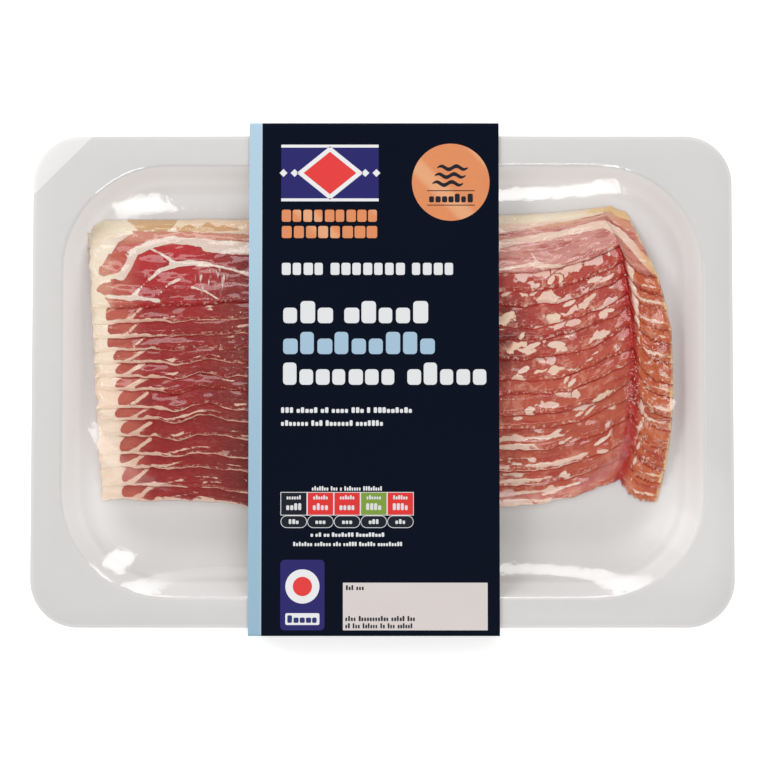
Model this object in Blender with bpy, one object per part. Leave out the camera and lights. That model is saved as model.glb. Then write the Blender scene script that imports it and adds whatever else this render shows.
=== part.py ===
"""A sealed pack of streaky bacon.

Fourteen rashers lie shingled in a shallow formed plastic tray. A clear lid film is drawn down over
them and sealed to the tray's flange, and a card sleeve wraps the middle of the pack.

Units are metres. +X runs along the tray's length, +Y towards the edge where the last rasher was laid,
+Z up. The origin is the middle of the pack's underside, at the bottom of the sleeve.
"""

import math

import bmesh
import bpy

# --- clearances -------------------------------------------------------------------------------------
GAP = 0.0003                    # between pieces that touch in the real pack

# --- card sleeve ------------------------------------------------------------------------------------
CARD = 0.0004                   # thickness of the card
SLEEVE_WIDTH = 0.0945           # along X
SLEEVE_LENGTH = 0.194           # along Y, over the outer faces
SLEEVE_HEIGHT = 0.0194
SLEEVE_X = -0.0032              # the sleeve sits a little left of the tray's middle
FOLD_RADIUS = 0.0012            # outside of a crease
FOLD_STEPS = 3
SEAM_EDGE_Y = 0.090             # free edge of the outer bottom panel
FLAP_END_Y = 0.078              # free edge of the glue flap, inside the outer panel
GLUE_LINE = 0.0001

# --- tray -------------------------------------------------------------------------------------------
TRAY_LENGTH = 0.265
TRAY_WIDTH = 0.186
TRAY_Y = -0.0009                # the sleeve overhangs the tray more at +Y than at -Y
TRAY_CORNER = 0.018
SHEET = 0.0005                  # formed sheet
FLANGE = 0.0102                 # width of the sealing flange
RECESS_CORNER = 0.041           # corner radius of the recess at the flange
LIP_RADIUS = 0.0015             # bend from the flange into the wall
WALL_RUN = 0.0045               # how far the wall leans inwards
FOOT_RADIUS = 0.0060            # bend from the wall into the floor
FLOOR_Z = CARD + GAP + SHEET    # inside face of the floor
FLANGE_Z = 0.0177               # top face of the flange
CORNER_STEPS = 8
LIP_STEPS = 3
FOOT_STEPS = 4

# --- rashers ----------------------------------------------------------------------------------------
RASHERS = 14
PITCH = 0.0056                  # step in Y from one rasher to the next
RASHER_SPAN = 6 * PITCH         # width of a rasher seen from above: it crosses six others
STACK_STEP = 0.0021             # rise from one rasher to the one laid on it
STACK_GAP = 0.0004              # the part of that rise left clear
FIRST_EDGE_Y = -0.0462          # lower edge of the rasher that was laid first
LAST_EDGE_Y = FIRST_EDGE_Y + (RASHERS - 1) * PITCH + RASHER_SPAN

# Plan outline of the whole stack. Curvatures are per metre.
LEFT_END = -0.1050              # X of the left ends at Y = 0
LEFT_DRIFT = 0.055              # further left by this share of Y
LEFT_CORNER = 0.0060            # the last rasher's upper left corner is rounded off by this much
RIGHT_END = 0.1098              # furthest point of the right ends
RIGHT_END_Y = -0.008
RIGHT_ARC_UP = 1.6
RIGHT_ARC_DOWN = 4.5
RIGHT_CUT = 0.0100              # the last rasher's upper right corner is cut back by this much more
RIGHT_CUT_Y = 0.010             # from here up
RIGHT_CUT_SPAN = 0.050          # along Y
LEFT_CORNER_SPAN = 0.020

# A crease runs across all the rashers near their right ends.
CREASE_X = 0.0950
CREASE_Y = -0.018               # where the crease lies furthest right
CREASE_ARC_UP = 2.5
CREASE_ARC_DOWN = 7.5
CREASE_WIDTH = 0.0045
CREASE_DEPTH = 0.13             # share of the stack's height lost in the crease
SWEEP_START = 0.046             # how far left of the crease the rashers begin to sweep upwards
SWEEP_RISE = 0.0100             # at the first rasher
SWEEP_RISE_EXTRA = 0.0060       # more than that in the middle of the stack
SWEEP_RISE_LAST = 0.0034        # at the last rasher's upper edge
SWEEP_FALL = 0.95               # share of the rise that is lost again past the crease
SWEEP_FALL_EXTRA = 0.0040       # and this much more in the middle of the stack
SWEEP_FALL_LENGTH = 0.0058
END_DROOP = 0.09                # share of the height lost where an end droops
END_DROOP_LENGTH = 0.016

# The rashers are fanned: further apart at the right than at the left, and they sag in the middle.
FAN_START = -0.100
FAN_END = 0.050
FAN_SPREAD = 0.0130             # the last rasher's lower edge rises by this much to the right
FAN_DROP = 0.0020               # and the first rasher's lower edge falls by this much
FAN_TOP = 0.0020                # the last rasher's upper edge rises by this much
FAN_PEAK_Y = FIRST_EDGE_Y + (RASHERS - 1) * PITCH
SAG = 0.0040
SAG_X = -0.035
SAG_WIDTH = 0.022
STEPS_TO_CREASE = 15
STEPS_PAST_CREASE = 4
CROSS_STEPS = 4

# --- film -------------------------------------------------------------------------------------------
FILM = 0.0003
FILM_INSET = 0.0010             # the film stops this far inside the tray's edge
FILM_COLUMNS = 40
FILM_ROWS = 28
FILM_PASSES = 200               # relaxation passes that draw the film down
FILM_PULL = 0.0008              # how far the vacuum draws the film down in each pass
FILM_SAMPLES = 4                # points tested along each side of a cell


def clear_scene():
    for item in list(bpy.data.objects):
        bpy.data.objects.remove(item, do_unlink=True)


def principled(name, color, roughness, metallic=0.0, alpha=1.0):
    material = bpy.data.materials.new(name)
    material.use_nodes = True
    shader = material.node_tree.nodes["Principled BSDF"]
    shader.inputs["Base Color"].default_value = (*color, 1.0)
    shader.inputs["Roughness"].default_value = roughness
    shader.inputs["Metallic"].default_value = metallic
    shader.inputs["Alpha"].default_value = alpha
    return material


def add_object(name, mesh_maker, material):
    """Turn a finished bmesh into a named object with one material."""
    mesh = bpy.data.meshes.new(name)
    mesh_maker.to_mesh(mesh)
    mesh_maker.free()
    mesh.materials.append(material)
    item = bpy.data.objects.new(name, mesh)
    bpy.context.scene.collection.objects.link(item)
    return item


def smooth_step(value):
    value = min(max(value, 0.0), 1.0)
    return value * value * (3.0 - 2.0 * value)


# --- tray -------------------------------------------------------------------------------------------

def rounded_rectangle(half_x, half_y, radius, steps):
    """Points of a rounded rectangle, anticlockwise, with steps + 1 points on each corner."""
    corners = ((1, 1, 0.0), (-1, 1, 0.5), (-1, -1, 1.0), (1, -1, 1.5))
    points = []
    for side_x, side_y, start in corners:
        for step in range(steps + 1):
            angle = math.pi * (start + 0.5 * step / steps)
            x = side_x * (half_x - radius) + radius * math.cos(angle)
            y = side_y * (half_y - radius) + radius * math.sin(angle)
            points.append((x, y))
    return points


def tray_profile():
    """(inset from the tray's edge, height) of the tray's upper face, from the edge to the floor."""
    fall = FLANGE_Z - FLOOR_Z
    wall_angle = math.atan2(fall, WALL_RUN + FOOT_RADIUS * 0.5)
    profile = [(0.0, FLANGE_Z), (FLANGE * 0.5, FLANGE_Z)]
    for step in range(LIP_STEPS + 1):
        turn = wall_angle * step / LIP_STEPS
        inset = FLANGE + LIP_RADIUS * math.sin(turn)
        profile.append((inset, FLANGE_Z - LIP_RADIUS * (1.0 - math.cos(turn))))
    lip_inset, lip_z = profile[-1]
    foot_z = FLOOR_Z + FOOT_RADIUS * (1.0 - math.cos(wall_angle))
    foot_inset = lip_inset + (lip_z - foot_z) / math.tan(wall_angle)
    centre_inset = foot_inset + FOOT_RADIUS * math.sin(wall_angle)
    for step in range(FOOT_STEPS + 1):
        turn = wall_angle * (1.0 - step / FOOT_STEPS)
        inset = centre_inset - FOOT_RADIUS * math.sin(turn)
        profile.append((inset, FLOOR_Z + FOOT_RADIUS * (1.0 - math.cos(turn))))
    return profile


def corner_radius(inset):
    """The flange keeps the tray's tight corner; the recess starts with a wide one."""
    if inset < FLANGE:
        return TRAY_CORNER - inset * 0.5
    return RECESS_CORNER - (inset - FLANGE)


def tray_height(profile, x, y):
    """Height of the last ring of the profile that a point, given from the tray's middle, lies inside."""
    height = FLANGE_Z
    for inset, ring_z in profile:
        if inside_rectangle(x, y, inset):
            height = ring_z
    return height


def inside_rectangle(x, y, inset):
    radius = corner_radius(inset)
    over_x = max(abs(x) - (TRAY_LENGTH / 2 - inset - radius), 0.0)
    over_y = max(abs(y) - (TRAY_WIDTH / 2 - inset - radius), 0.0)
    return math.hypot(over_x, over_y) <= radius


def make_tray(material):
    """Rings from the flange's edge to the floor, joined by faces and given the sheet's thickness."""
    maker = bmesh.new()
    outer = []
    for inset, height in tray_profile():
        half_x = TRAY_LENGTH / 2 - inset
        half_y = TRAY_WIDTH / 2 - inset
        outline = rounded_rectangle(half_x, half_y, corner_radius(inset), CORNER_STEPS)
        inner = [maker.verts.new((x, y + TRAY_Y, height)) for x, y in outline]
        for i in range(len(outer)):
            maker.faces.new((outer[i - 1], outer[i], inner[i], inner[i - 1]))
        outer = inner
    maker.faces.new(outer)
    tray = add_object("tray", maker, material)
    wall = tray.modifiers.new("sheet", "SOLIDIFY")
    wall.thickness = SHEET
    wall.offset = -1.0
    wall.use_even_offset = True
    tray.data.shade_smooth()
    tray.data.set_sharp_from_angle(angle=math.radians(40))


# --- rashers ----------------------------------------------------------------------------------------

def crease_at(laid_y):
    """X of the crease, a shallow arc across the stack."""
    arc = CREASE_ARC_UP if laid_y > CREASE_Y else CREASE_ARC_DOWN
    return CREASE_X - arc * (laid_y - CREASE_Y) ** 2


def left_outline(laid_y):
    corner = max(laid_y - (LAST_EDGE_Y - LEFT_CORNER_SPAN), 0.0) / LEFT_CORNER_SPAN
    return LEFT_END - LEFT_DRIFT * laid_y + LEFT_CORNER * corner ** 2


def right_outline(laid_y):
    arc = RIGHT_ARC_UP if laid_y > RIGHT_END_Y else RIGHT_ARC_DOWN
    corner = max(laid_y - RIGHT_CUT_Y, 0.0) / RIGHT_CUT_SPAN
    return RIGHT_END - arc * (laid_y - RIGHT_END_Y) ** 2 - RIGHT_CUT * corner


def sweep(x, laid_y):
    """Shift in Y as the rashers sweep up to the crease and fall away beyond it."""
    offset = x - crease_at(laid_y)
    upper = (laid_y - FIRST_EDGE_Y) / (LAST_EDGE_Y - FIRST_EDGE_Y)
    middle = 4.0 * upper * (1.0 - upper)
    rise = SWEEP_RISE + (SWEEP_RISE_LAST - SWEEP_RISE) * upper + SWEEP_RISE_EXTRA * middle
    if offset < 0.0:
        return rise * max(1.0 + offset / SWEEP_START, 0.0) ** 2
    fall = SWEEP_FALL * rise + SWEEP_FALL_EXTRA * middle
    return rise - fall * (1.0 - math.exp(-offset / SWEEP_FALL_LENGTH))


def fan(x, laid_y):
    """Shift in Y that spreads the rashers towards the right."""
    right = smooth_step((x - FAN_START) / (FAN_END - FAN_START))
    if laid_y < FAN_PEAK_Y:
        share = (laid_y - FIRST_EDGE_Y) / (FAN_PEAK_Y - FIRST_EDGE_Y)
        return right * (FAN_SPREAD * share - FAN_DROP * (1.0 - share))
    share = (laid_y - FAN_PEAK_Y) / (LAST_EDGE_Y - FAN_PEAK_Y)
    return right * (FAN_SPREAD + (FAN_TOP - FAN_SPREAD) * share)


def plan_y(x, laid_y):
    """Y where a point of the stack comes to lie."""
    upper = (laid_y - FIRST_EDGE_Y) / (LAST_EDGE_Y - FIRST_EDGE_Y)
    sag = SAG * (1.0 - upper ** 2) * math.exp(-((x - SAG_X) / SAG_WIDTH) ** 2)
    return laid_y + sweep(x, laid_y) + fan(x, laid_y) - sag


def squeeze(x, laid_y):
    """Share of the stack's height that is left: less in the crease and where the ends droop."""
    valley = CREASE_DEPTH * math.exp(-((x - crease_at(laid_y)) / CREASE_WIDTH) ** 2)
    from_left = (x - left_outline(laid_y)) / END_DROOP_LENGTH
    from_right = (right_outline(laid_y) - x) / END_DROOP_LENGTH
    return 1.0 - valley - END_DROOP * (smooth_step(1.0 - from_left) + smooth_step(1.0 - from_right))


def station_x(step, laid_y):
    """X of a station along a rasher; the stations close up towards the crease."""
    crease = crease_at(laid_y)
    if step <= STEPS_TO_CREASE:
        share = (1.0 - step / STEPS_TO_CREASE) ** 1.45
        return crease + (left_outline(laid_y) - crease) * share
    share = (step - STEPS_TO_CREASE) / STEPS_PAST_CREASE
    return crease + (right_outline(laid_y) - crease) * share


def rasher_point(order, step, laid_y, lift):
    """A point of a rasher; lift is the height above its lower face.

    It lies on as many rashers as were laid before it, up to six, and runs down to the floor at its
    upper edge.
    """
    x = station_x(step, laid_y)
    upper_edge = FIRST_EDGE_Y + order * PITCH + RASHER_SPAN
    layers = min(order, (upper_edge - laid_y) / PITCH)
    height = (STACK_STEP * layers + lift) * squeeze(x, laid_y)
    return x, plan_y(x, laid_y), FLOOR_Z + GAP + height


def cross_stations(order):
    """Y of the stations across a rasher, with one where it bends to the floor or the fan turns."""
    lower_edge = FIRST_EDGE_Y + order * PITCH
    stations = [lower_edge + RASHER_SPAN * step / CROSS_STEPS for step in range(CROSS_STEPS + 1)]
    for bend in (FIRST_EDGE_Y + RASHER_SPAN, FAN_PEAK_Y):
        if stations[0] < bend < stations[-1]:
            nearest = min(range(1, CROSS_STEPS), key=lambda step: abs(stations[step] - bend))
            stations[nearest] = bend
    return stations


def make_rasher(order, material):
    """A flat grid is laid into place and extruded up by the rasher's thickness."""
    maker = bmesh.new()
    steps = STEPS_TO_CREASE + STEPS_PAST_CREASE
    stations = cross_stations(order)
    bmesh.ops.create_grid(maker, x_segments=steps, y_segments=CROSS_STEPS, size=0.5)
    extruded = bmesh.ops.extrude_face_region(maker, geom=list(maker.faces))
    upper = {item for item in extruded["geom"] if isinstance(item, bmesh.types.BMVert)}
    for vert in maker.verts:
        step = round((vert.co.x + 0.5) * steps)
        laid_y = stations[round((vert.co.y + 0.5) * CROSS_STEPS)]
        lift = STACK_STEP - STACK_GAP if vert in upper else 0.0
        vert.co = rasher_point(order, step, laid_y, lift)
    bmesh.ops.recalc_face_normals(maker, faces=maker.faces)
    rasher = add_object(f"rasher_{RASHERS - order:02d}", maker, material)
    rasher.data.shade_smooth()
    rasher.data.set_sharp_from_angle(angle=math.radians(50))


# --- film -------------------------------------------------------------------------------------------

def laid_from_plan(x, y):
    """Invert plan_y by a few steps towards the answer."""
    laid_y = y
    for _ in range(8):
        laid_y += y - plan_y(x, laid_y)
    return laid_y


def stack_height(x, y):
    """Height of the rashers' outer envelope, or 0 where no rasher lies."""
    laid_y = laid_from_plan(x, y)
    if not FIRST_EDGE_Y - PITCH / 4 < laid_y < LAST_EDGE_Y + PITCH / 4:
        return 0.0
    if not left_outline(laid_y) - PITCH / 4 < x < right_outline(laid_y) + PITCH / 4:
        return 0.0
    rising = (laid_y - FIRST_EDGE_Y) / PITCH + 1.0
    falling = max((LAST_EDGE_Y - laid_y) / PITCH, 0.0)
    layers = min(rising, falling, RASHER_SPAN / PITCH)
    return FLOOR_Z + GAP + STACK_STEP * (layers + 1.0)


def film_plan(column, row):
    """Grid point of the film, with the grid's corners drawn in to the flange's round corners."""
    half_x = TRAY_LENGTH / 2 - FILM_INSET
    half_y = TRAY_WIDTH / 2 - FILM_INSET
    radius = TRAY_CORNER - FILM_INSET * 0.5
    x = half_x * (2.0 * column / FILM_COLUMNS - 1.0)
    y = half_y * (2.0 * row / FILM_ROWS - 1.0)
    over_x = max(abs(x) - (half_x - radius), 0.0) / radius
    over_y = max(abs(y) - (half_y - radius), 0.0) / radius
    if over_x > 0.0 and over_y > 0.0:
        round_x = over_x * math.sqrt(1.0 - over_y ** 2 / 2.0)
        round_y = over_y * math.sqrt(1.0 - over_x ** 2 / 2.0)
        x = math.copysign(half_x - radius + radius * round_x, x)
        y = math.copysign(half_y - radius + radius * round_y, y)
    return x, y


def film_rest(profile, column, row):
    """Lowest height the film may take at a grid point: clear of all that lies in the cells round it."""
    x, y = film_plan(column, row)
    reach_x = TRAY_LENGTH / FILM_COLUMNS
    reach_y = TRAY_WIDTH / FILM_ROWS
    highest = 0.0
    for i in range(-FILM_SAMPLES, FILM_SAMPLES + 1):
        for k in range(-FILM_SAMPLES, FILM_SAMPLES + 1):
            near_x = x + reach_x * i / FILM_SAMPLES
            near_y = y + reach_y * k / FILM_SAMPLES
            ground = max(tray_height(profile, near_x, near_y), stack_height(near_x, near_y + TRAY_Y))
            highest = max(highest, ground)
    return highest + GAP


def draped_heights():
    """Heights of the film's grid after the vacuum has drawn it down on to the tray and the rashers."""
    sealed = FLANGE_Z + GAP
    columns = range(FILM_COLUMNS + 1)
    rows = range(FILM_ROWS + 1)
    profile = tray_profile()
    rest = [[film_rest(profile, column, row) for row in rows] for column in columns]
    heights = [[sealed for _ in rows] for _ in columns]
    for _ in range(FILM_PASSES):
        for i in range(1, FILM_COLUMNS):
            for k in range(1, FILM_ROWS):
                around = heights[i - 1][k] + heights[i + 1][k] + heights[i][k - 1] + heights[i][k + 1]
                heights[i][k] = min(max(around / 4.0 - FILM_PULL, rest[i][k]), sealed)
    return heights


def make_film(material):
    """A grid over the whole flange, draped, then thickened upwards."""
    maker = bmesh.new()
    heights = draped_heights()
    bmesh.ops.create_grid(maker, x_segments=FILM_COLUMNS, y_segments=FILM_ROWS, size=0.5)
    for vert in maker.verts:
        column = round((vert.co.x + 0.5) * FILM_COLUMNS)
        row = round((vert.co.y + 0.5) * FILM_ROWS)
        x, y = film_plan(column, row)
        vert.co = (x, y + TRAY_Y, heights[column][row])
    film = add_object("film", maker, material)
    sheet = film.modifiers.new("sheet", "SOLIDIFY")
    sheet.thickness = FILM
    sheet.offset = 1.0
    film.data.shade_smooth()


# --- sleeve -----------------------------------------------------------------------------------------

def sleeve_outline():
    """The card's outer face seen along X, from the outer panel's free edge round to the glue flap."""
    half = SLEEVE_LENGTH / 2
    flap_z = CARD + GLUE_LINE
    folds = ((-half, 0.0, 1.5), (-half, SLEEVE_HEIGHT, 1.0), (half, SLEEVE_HEIGHT, 0.5), (half, flap_z, 0.0))
    points = [(SEAM_EDGE_Y, 0.0)]
    for fold_y, fold_z, start in folds:
        centre_y = fold_y - math.copysign(FOLD_RADIUS, fold_y)
        centre_z = fold_z + (FOLD_RADIUS if start in (1.5, 0.0) else -FOLD_RADIUS)
        for step in range(FOLD_STEPS + 1):
            angle = math.pi * (start - 0.5 * step / FOLD_STEPS)
            y = centre_y + FOLD_RADIUS * math.cos(angle)
            z = centre_z + FOLD_RADIUS * math.sin(angle)
            points.append((y, z))
    points.append((FLAP_END_Y, flap_z))
    return points


def make_sleeve(material):
    """The outline is extruded along X and given the card's thickness inwards."""
    maker = bmesh.new()
    left = SLEEVE_X - SLEEVE_WIDTH / 2
    verts = [maker.verts.new((left, y, z)) for y, z in sleeve_outline()]
    edges = [maker.edges.new(pair) for pair in zip(verts, verts[1:])]
    extruded = bmesh.ops.extrude_edge_only(maker, edges=edges)
    moved = [item for item in extruded["geom"] if isinstance(item, bmesh.types.BMVert)]
    bmesh.ops.translate(maker, verts=moved, vec=(SLEEVE_WIDTH, 0.0, 0.0))
    bmesh.ops.recalc_face_normals(maker, faces=maker.faces)
    maker.normal_update()
    lowest = min(maker.faces, key=lambda face: face.calc_center_median().z)
    if lowest.normal.z > 0:
        bmesh.ops.reverse_faces(maker, faces=maker.faces)
    sleeve = add_object("sleeve", maker, material)
    card = sleeve.modifiers.new("card", "SOLIDIFY")
    card.thickness = CARD
    card.offset = -1.0
    card.use_even_offset = True
    sleeve.data.shade_smooth()
    sleeve.data.set_sharp_from_angle(angle=math.radians(40))


def main():
    clear_scene()
    make_tray(principled("tray_plastic", (0.70, 0.68, 0.67), 0.30))
    meat = principled("cured_meat", (0.45, 0.12, 0.10), 0.35)
    for order in range(RASHERS):
        make_rasher(order, meat)
    make_film(principled("clear_film", (0.92, 0.92, 0.92), 0.08, alpha=0.25))
    make_sleeve(principled("printed_card", (0.004, 0.009, 0.022), 0.35))


main()
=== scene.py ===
"""Sealed pack of streaky bacon: moulded tray, clear film, shingled rashers and a printed card sleeve."""

import math
from types import SimpleNamespace

import bmesh
import bpy
import numpy as np
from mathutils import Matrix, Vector, noise


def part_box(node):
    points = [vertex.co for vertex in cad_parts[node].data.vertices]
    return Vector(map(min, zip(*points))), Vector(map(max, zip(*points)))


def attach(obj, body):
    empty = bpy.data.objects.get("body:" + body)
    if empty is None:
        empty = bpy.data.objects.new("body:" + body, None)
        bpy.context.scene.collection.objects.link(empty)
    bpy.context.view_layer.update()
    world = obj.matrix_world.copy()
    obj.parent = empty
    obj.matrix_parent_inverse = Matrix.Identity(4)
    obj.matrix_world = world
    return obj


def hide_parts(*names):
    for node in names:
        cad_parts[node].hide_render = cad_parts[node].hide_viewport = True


bl_info = {
    "name": "Bacon pack",
    "version": (1, 0, 0),
    "blender": (4, 5, 0),
    "location": "3D View > Sidebar > Bacon pack",
    "description": "Builds a sealed tray of shingled bacon rashers in a printed card sleeve",
    "category": "Object",
}

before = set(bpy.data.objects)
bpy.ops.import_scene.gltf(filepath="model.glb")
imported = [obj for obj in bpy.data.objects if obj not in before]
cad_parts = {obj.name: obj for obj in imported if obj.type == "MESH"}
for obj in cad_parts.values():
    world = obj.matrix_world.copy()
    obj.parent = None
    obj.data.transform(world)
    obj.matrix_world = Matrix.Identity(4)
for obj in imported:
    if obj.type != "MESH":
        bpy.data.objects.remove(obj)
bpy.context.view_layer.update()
MM = 0.001

# Card sleeve
SLEEVE_LOW, SLEEVE_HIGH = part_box("sleeve")
SLEEVE_LEFT = SLEEVE_LOW[0]
SLEEVE_RIGHT = SLEEVE_HIGH[0]
SLEEVE_HALF = SLEEVE_HIGH[1]
SLEEVE_TOP = SLEEVE_HIGH[2]
CARD = 0.4 * MM
INK = 0.03 * MM
PRINT_LIFT = 0.012 * MM
CARD_TOP = SLEEVE_TOP - 3 * (INK + PRINT_LIFT)
FOLD_RADIUS = 1.2 * MM
SEAM_EDGE = 90 * MM
FLAP_END = 78 * MM
GLUE = 0.1 * MM
SLEEVE_COLUMNS = 24
STRIPE_WIDTH = 4.75 * MM

# Moulded tray
TRAY_LENGTH = 265 * MM
TRAY_WIDTH = 186 * MM
TRAY_Y = -0.9 * MM
TRAY_CORNER = 18 * MM
FLANGE = 10.2 * MM
FLANGE_TOP = 17.7 * MM
FLOOR_TOP = 1.2 * MM
RECESS_CORNER = 41 * MM
SHEET = 0.5 * MM
FILM_MARGIN = 1.2 * MM
SETTLING_ROUNDS = 420
TRAY_WALL = (
    (0.00, 17.70), (0.56, 17.59), (1.04, 17.28), (1.37, 16.82), (3.20, 12.80), (5.03, 8.76), (6.87, 4.72),
    (7.30, 3.95), (7.79, 3.28), (8.40, 2.66), (9.08, 2.16), (9.85, 1.74), (10.64, 1.44), (11.50, 1.27),
    (12.33, 1.20),
)

# Shingled rashers
RASHERS = 14
PITCH = 5.6 * MM
SPAN = 6 * PITCH
STACK_STEP = 2.1 * MM
THICKNESS = 2.0 * MM
GAP = 0.3 * MM
FIRST_EDGE = -46.2 * MM
LAST_EDGE = 60.2 * MM


# ---------------------------------------------------------------- settings


class PackSizes(bpy.types.PropertyGroup):
    rasher_columns: bpy.props.IntProperty(
        name="Rasher columns", description="Mesh columns along each rasher", default=250, min=40, max=400)
    edge_round: bpy.props.FloatProperty(
        name="Edge rounding", description="How far in the rounded rim of a rasher reaches",
        default=0.0017, min=0.0002, max=0.003, unit="LENGTH")
    edge_wave: bpy.props.FloatProperty(
        name="Edge wave", description="How far the cut edge of a rasher wanders",
        default=0.0006, min=0.0, max=0.002, unit="LENGTH")
    surface_swell: bpy.props.FloatProperty(
        name="Surface swell", description="Height of the soft unevenness on a rasher",
        default=0.00028, min=0.0, max=0.001, unit="LENGTH")
    film_cell: bpy.props.FloatProperty(
        name="Film cell", description="Mesh size of the film",
        default=0.0011, min=0.0008, max=0.006, unit="LENGTH")
    film_tension: bpy.props.FloatProperty(
        name="Film pull", description="How hard the vacuum draws the film down",
        default=27.0, min=1.0, max=200.0)


class PackColours(bpy.types.PropertyGroup):
    tray: bpy.props.FloatVectorProperty(
        name="Tray", description="Frosted tray plastic",
        subtype="COLOR", size=3, default=(0.665, 0.655, 0.65))
    card: bpy.props.FloatVectorProperty(
        name="Card", description="Dark printed card",
        subtype="COLOR", size=3, default=(0.0022, 0.0052, 0.0150))
    stripe: bpy.props.FloatVectorProperty(
        name="Stripe", description="Pale blue stripe on the card",
        subtype="COLOR", size=3, default=(0.40, 0.56, 0.69))
    foil: bpy.props.FloatVectorProperty(
        name="Foil", description="Copper foil print",
        subtype="COLOR", size=3, default=(0.74, 0.26, 0.10))


# ---------------------------------------------------------------- mesh helpers


def clear_selection():
    """Object mode with nothing selected."""
    if bpy.context.mode != "OBJECT":
        bpy.ops.object.mode_set(mode="OBJECT")
    bpy.ops.object.select_all(action="DESELECT")


def select_only(piece):
    """Object mode with one piece selected and active."""
    clear_selection()
    piece.select_set(True)
    bpy.context.view_layer.objects.active = piece


def start_grid(name, columns, rows):
    """A flat grid with the given number of cells, and each vertex's place on it from 0 to 1."""
    clear_selection()
    bpy.ops.mesh.primitive_grid_add(x_subdivisions=columns, y_subdivisions=rows, size=2)
    piece = bpy.context.active_object
    piece.name = name
    piece.data.name = name
    places = np.empty(len(piece.data.vertices) * 3)
    piece.data.vertices.foreach_get("co", places)
    places = places.reshape(-1, 3)
    across = np.rint((places[:, 0] + 1) / 2 * columns).astype(int)
    along = np.rint((places[:, 1] + 1) / 2 * rows).astype(int)
    return piece, across, along


def move_vertices(piece, x, y, z):
    """Puts every vertex of a piece at the given places."""
    places = np.stack([x, y, z], axis=1).astype(float)
    piece.data.vertices.foreach_set("co", places.ravel())
    piece.data.update()


def store_value(piece, name, values):
    """A smooth number on every vertex."""
    layer = piece.data.attributes.new(name, "FLOAT", "POINT")
    layer.data.foreach_set("value", np.asarray(values, dtype=np.float32).ravel())


def store_colour(piece, name, colours):
    """A smooth colour on every vertex."""
    layer = piece.data.attributes.new(name, "FLOAT_COLOR", "POINT")
    rgba = np.ones((len(colours), 4), dtype=np.float32)
    rgba[:, :3] = colours
    layer.data.foreach_set("color", rgba.ravel())


def store_uv(piece, u, v):
    """A map of the piece in metres, along and across it."""
    corners = np.empty(len(piece.data.loops), dtype=np.int32)
    piece.data.loops.foreach_get("vertex_index", corners)
    pairs = np.stack([np.asarray(u)[corners], np.asarray(v)[corners]], axis=1).astype(np.float32)
    piece.data.uv_layers[0].data.foreach_set("uv", pairs.ravel())


def merge_and_smooth(piece, distance):
    """Closes coincident seams, faces everything outwards and shades it smooth."""
    select_only(piece)
    bpy.ops.object.mode_set(mode="EDIT")
    bpy.ops.mesh.select_all(action="SELECT")
    bpy.ops.mesh.remove_doubles(threshold=distance)
    bpy.ops.mesh.dissolve_degenerate(threshold=distance)
    bpy.ops.mesh.normals_make_consistent(inside=False)
    bpy.ops.object.mode_set(mode="OBJECT")
    bpy.ops.object.shade_smooth()


def thicken(piece, name, thickness):
    """Gives a shell its thickness, inwards from the face that was modelled."""
    solid = piece.modifiers.new(name, "SOLIDIFY")
    solid.thickness = thickness
    solid.offset = -1.0
    solid.use_even_offset = True


def apply_all(piece):
    """Applies a piece's modifiers in order."""
    select_only(piece)
    for modifier in list(piece.modifiers):
        bpy.ops.object.modifier_apply(modifier=modifier.name)


def smooth_by_angle(piece, degrees):
    """Smooth shading that keeps edges sharper than an angle."""
    select_only(piece)
    bpy.ops.object.shade_smooth_by_angle(angle=math.radians(degrees))


def finish_piece(piece, material, nodes=()):
    """Gives a piece its material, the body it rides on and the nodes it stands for."""
    piece.data.materials.clear()
    piece.data.materials.append(material)
    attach(piece, "root")
    if nodes:
        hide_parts(*nodes)


# ---------------------------------------------------------------- node helpers


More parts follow.
